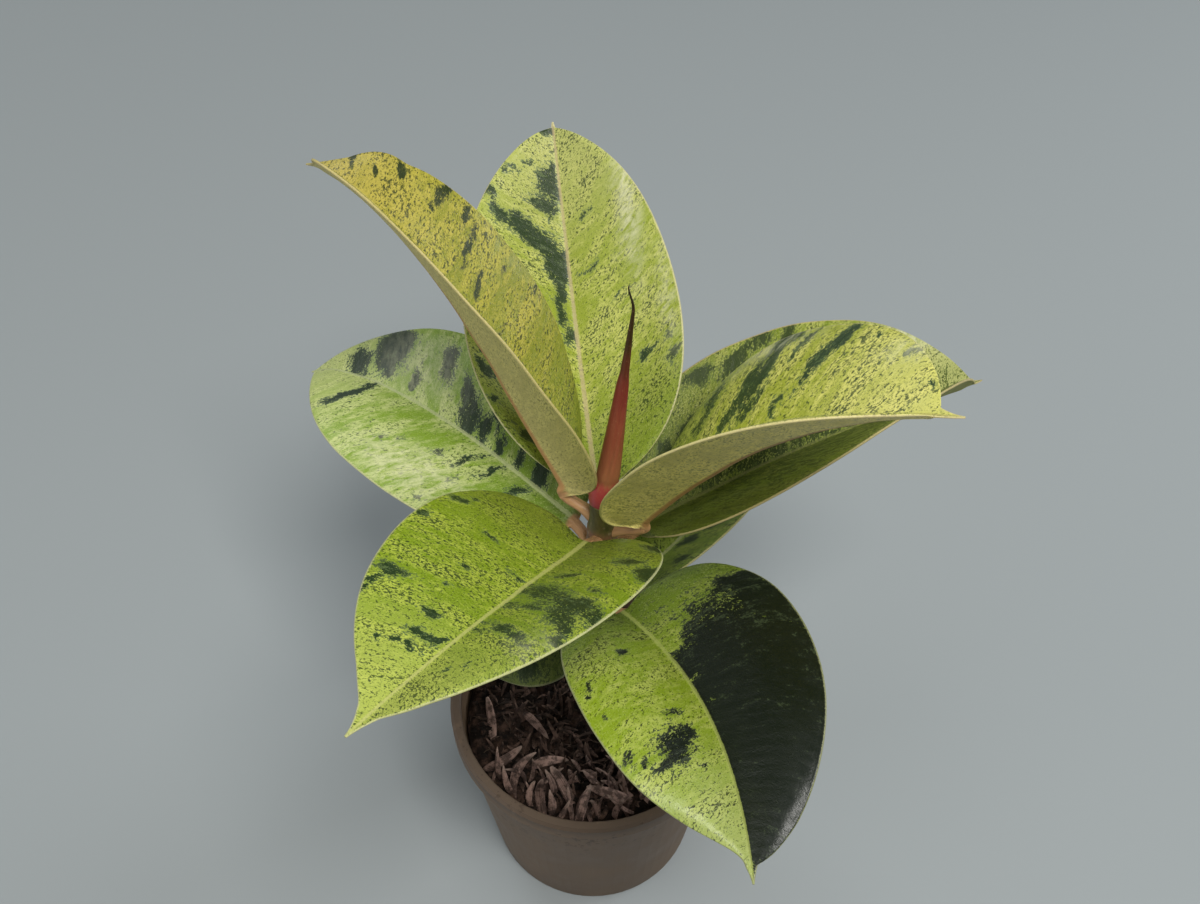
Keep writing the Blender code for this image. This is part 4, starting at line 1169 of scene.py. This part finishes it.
for number, (name, leaf) in enumerate(LEAVES.items(), 1):
    blade, blade_vein, blade_edge, blade_stalk = blade_rings(name, leaf, number)
    stalk, stalk_vein, stalk_edge = stalk_rings(leaf, number)
    dark = patches(MARKS[name], leaf, blade_vein)
    # How much painted sheen lies at each place
    painted_sheen = patches(PAINTED_SHEEN_MARKS.get(name, []), leaf, blade_vein)
    on_stalk = np.zeros(stalk.shape)
    on_stalk[..., 2] = 1
    piece(
        name + "_waxy",
        np.concatenate([stalk, blade])[None],
        leaf_finish(name + "_skin", LOOKS[name], leaf["length"]),
        "leaf_skin",
        name,
        vein=np.concatenate([stalk_vein, blade_vein])[None],
        edge=np.concatenate([stalk_edge, blade_edge])[None],
        mark=np.concatenate([on_stalk, np.stack([dark, painted_sheen, blade_stalk], axis=-1)])[None],
    )

# The floor, the light and the camera.
# A plain pale floor under four soft square lamps: a small one high in front, and larger, weaker
# ones at the right, at the left and behind. The camera looks down on the plant.
FLOOR_COLOUR = (0.282, 0.308, 0.316)
SURROUND_COLOUR = (0.80, 0.86, 0.90, 1)
CAMERA_PLACE = (0.0023, -0.1727, 0.4057)
CAMERA_DOWN = 51.9


def floor_finish():
    """A plain pale sheet with the faintest cloud in its colour."""
    finish = Finish("floor_pale", Roughness=0.8, Specular_IOR_Level=0.2)
    clouds = finish.noise(finish.place(), 1.5, 2)
    finish.feed(Base_Color=finish.mix(clouds, FLOOR_COLOUR, [0.95 * c for c in FLOOR_COLOUR]))
    return finish.material


floor_mesh = bpy.data.meshes.new("floor")
floor_mesh.from_pydata([(-6, -6, 0), (6, -6, 0), (6, 6, 0), (-6, 6, 0)], [], [(0, 1, 2, 3)])
floor_mesh.materials.append(floor_finish())
floor = bpy.data.objects.new("floor", floor_mesh)
bpy.context.scene.collection.objects.link(floor)


def soft_light(name, place, target, size, power, colour):
    """A square lamp that faces a point."""
    lamp = bpy.data.lights.new(name, "AREA")
    lamp.size = size
    lamp.energy = power
    lamp.color = colour
    thing = bpy.data.objects.new(name, lamp)
    thing.location = place
    thing.rotation_euler = (Vector(target) - Vector(place)).to_track_quat("-Z", "Y").to_euler()
    bpy.context.scene.collection.objects.link(thing)


soft_light("lamp_high", (0.22, -0.42, 1.18), (0, 0, 0.13), 0.36, 13.0, (1.0, 0.98, 0.94))
soft_light("lamp_right", (1.0, 0.30, 0.50), (0, 0, 0.13), 0.5, 5.5, (0.95, 0.98, 1.0))
soft_light("lamp_left", (-0.9, -0.3, 0.50), (0, 0, 0.12), 0.8, 3.5, (1.0, 0.99, 0.97))
soft_light("lamp_back", (-0.9, 1.3, 1.3), (-0.4, 0.5, 0), 0.9, 9.0, (0.97, 1.0, 1.0))
world = bpy.data.worlds.new("studio")
world.use_nodes = True
surround = world.node_tree.nodes["Background"].inputs
surround["Color"].default_value = SURROUND_COLOUR
surround["Strength"].default_value = 0.17
bpy.context.scene.world = world
bpy.context.scene.view_settings.view_transform = "Standard"

camera_data = bpy.data.cameras.new("camera")
camera_data.lens = 39
camera_data.sensor_width = 36
camera_data.clip_start = 0.01
camera = bpy.data.objects.new("camera", camera_data)
camera.location = CAMERA_PLACE
camera.rotation_euler = (np.radians(90 - CAMERA_DOWN), 0, 0)
bpy.context.scene.collection.objects.link(camera)
bpy.context.scene.camera = camera
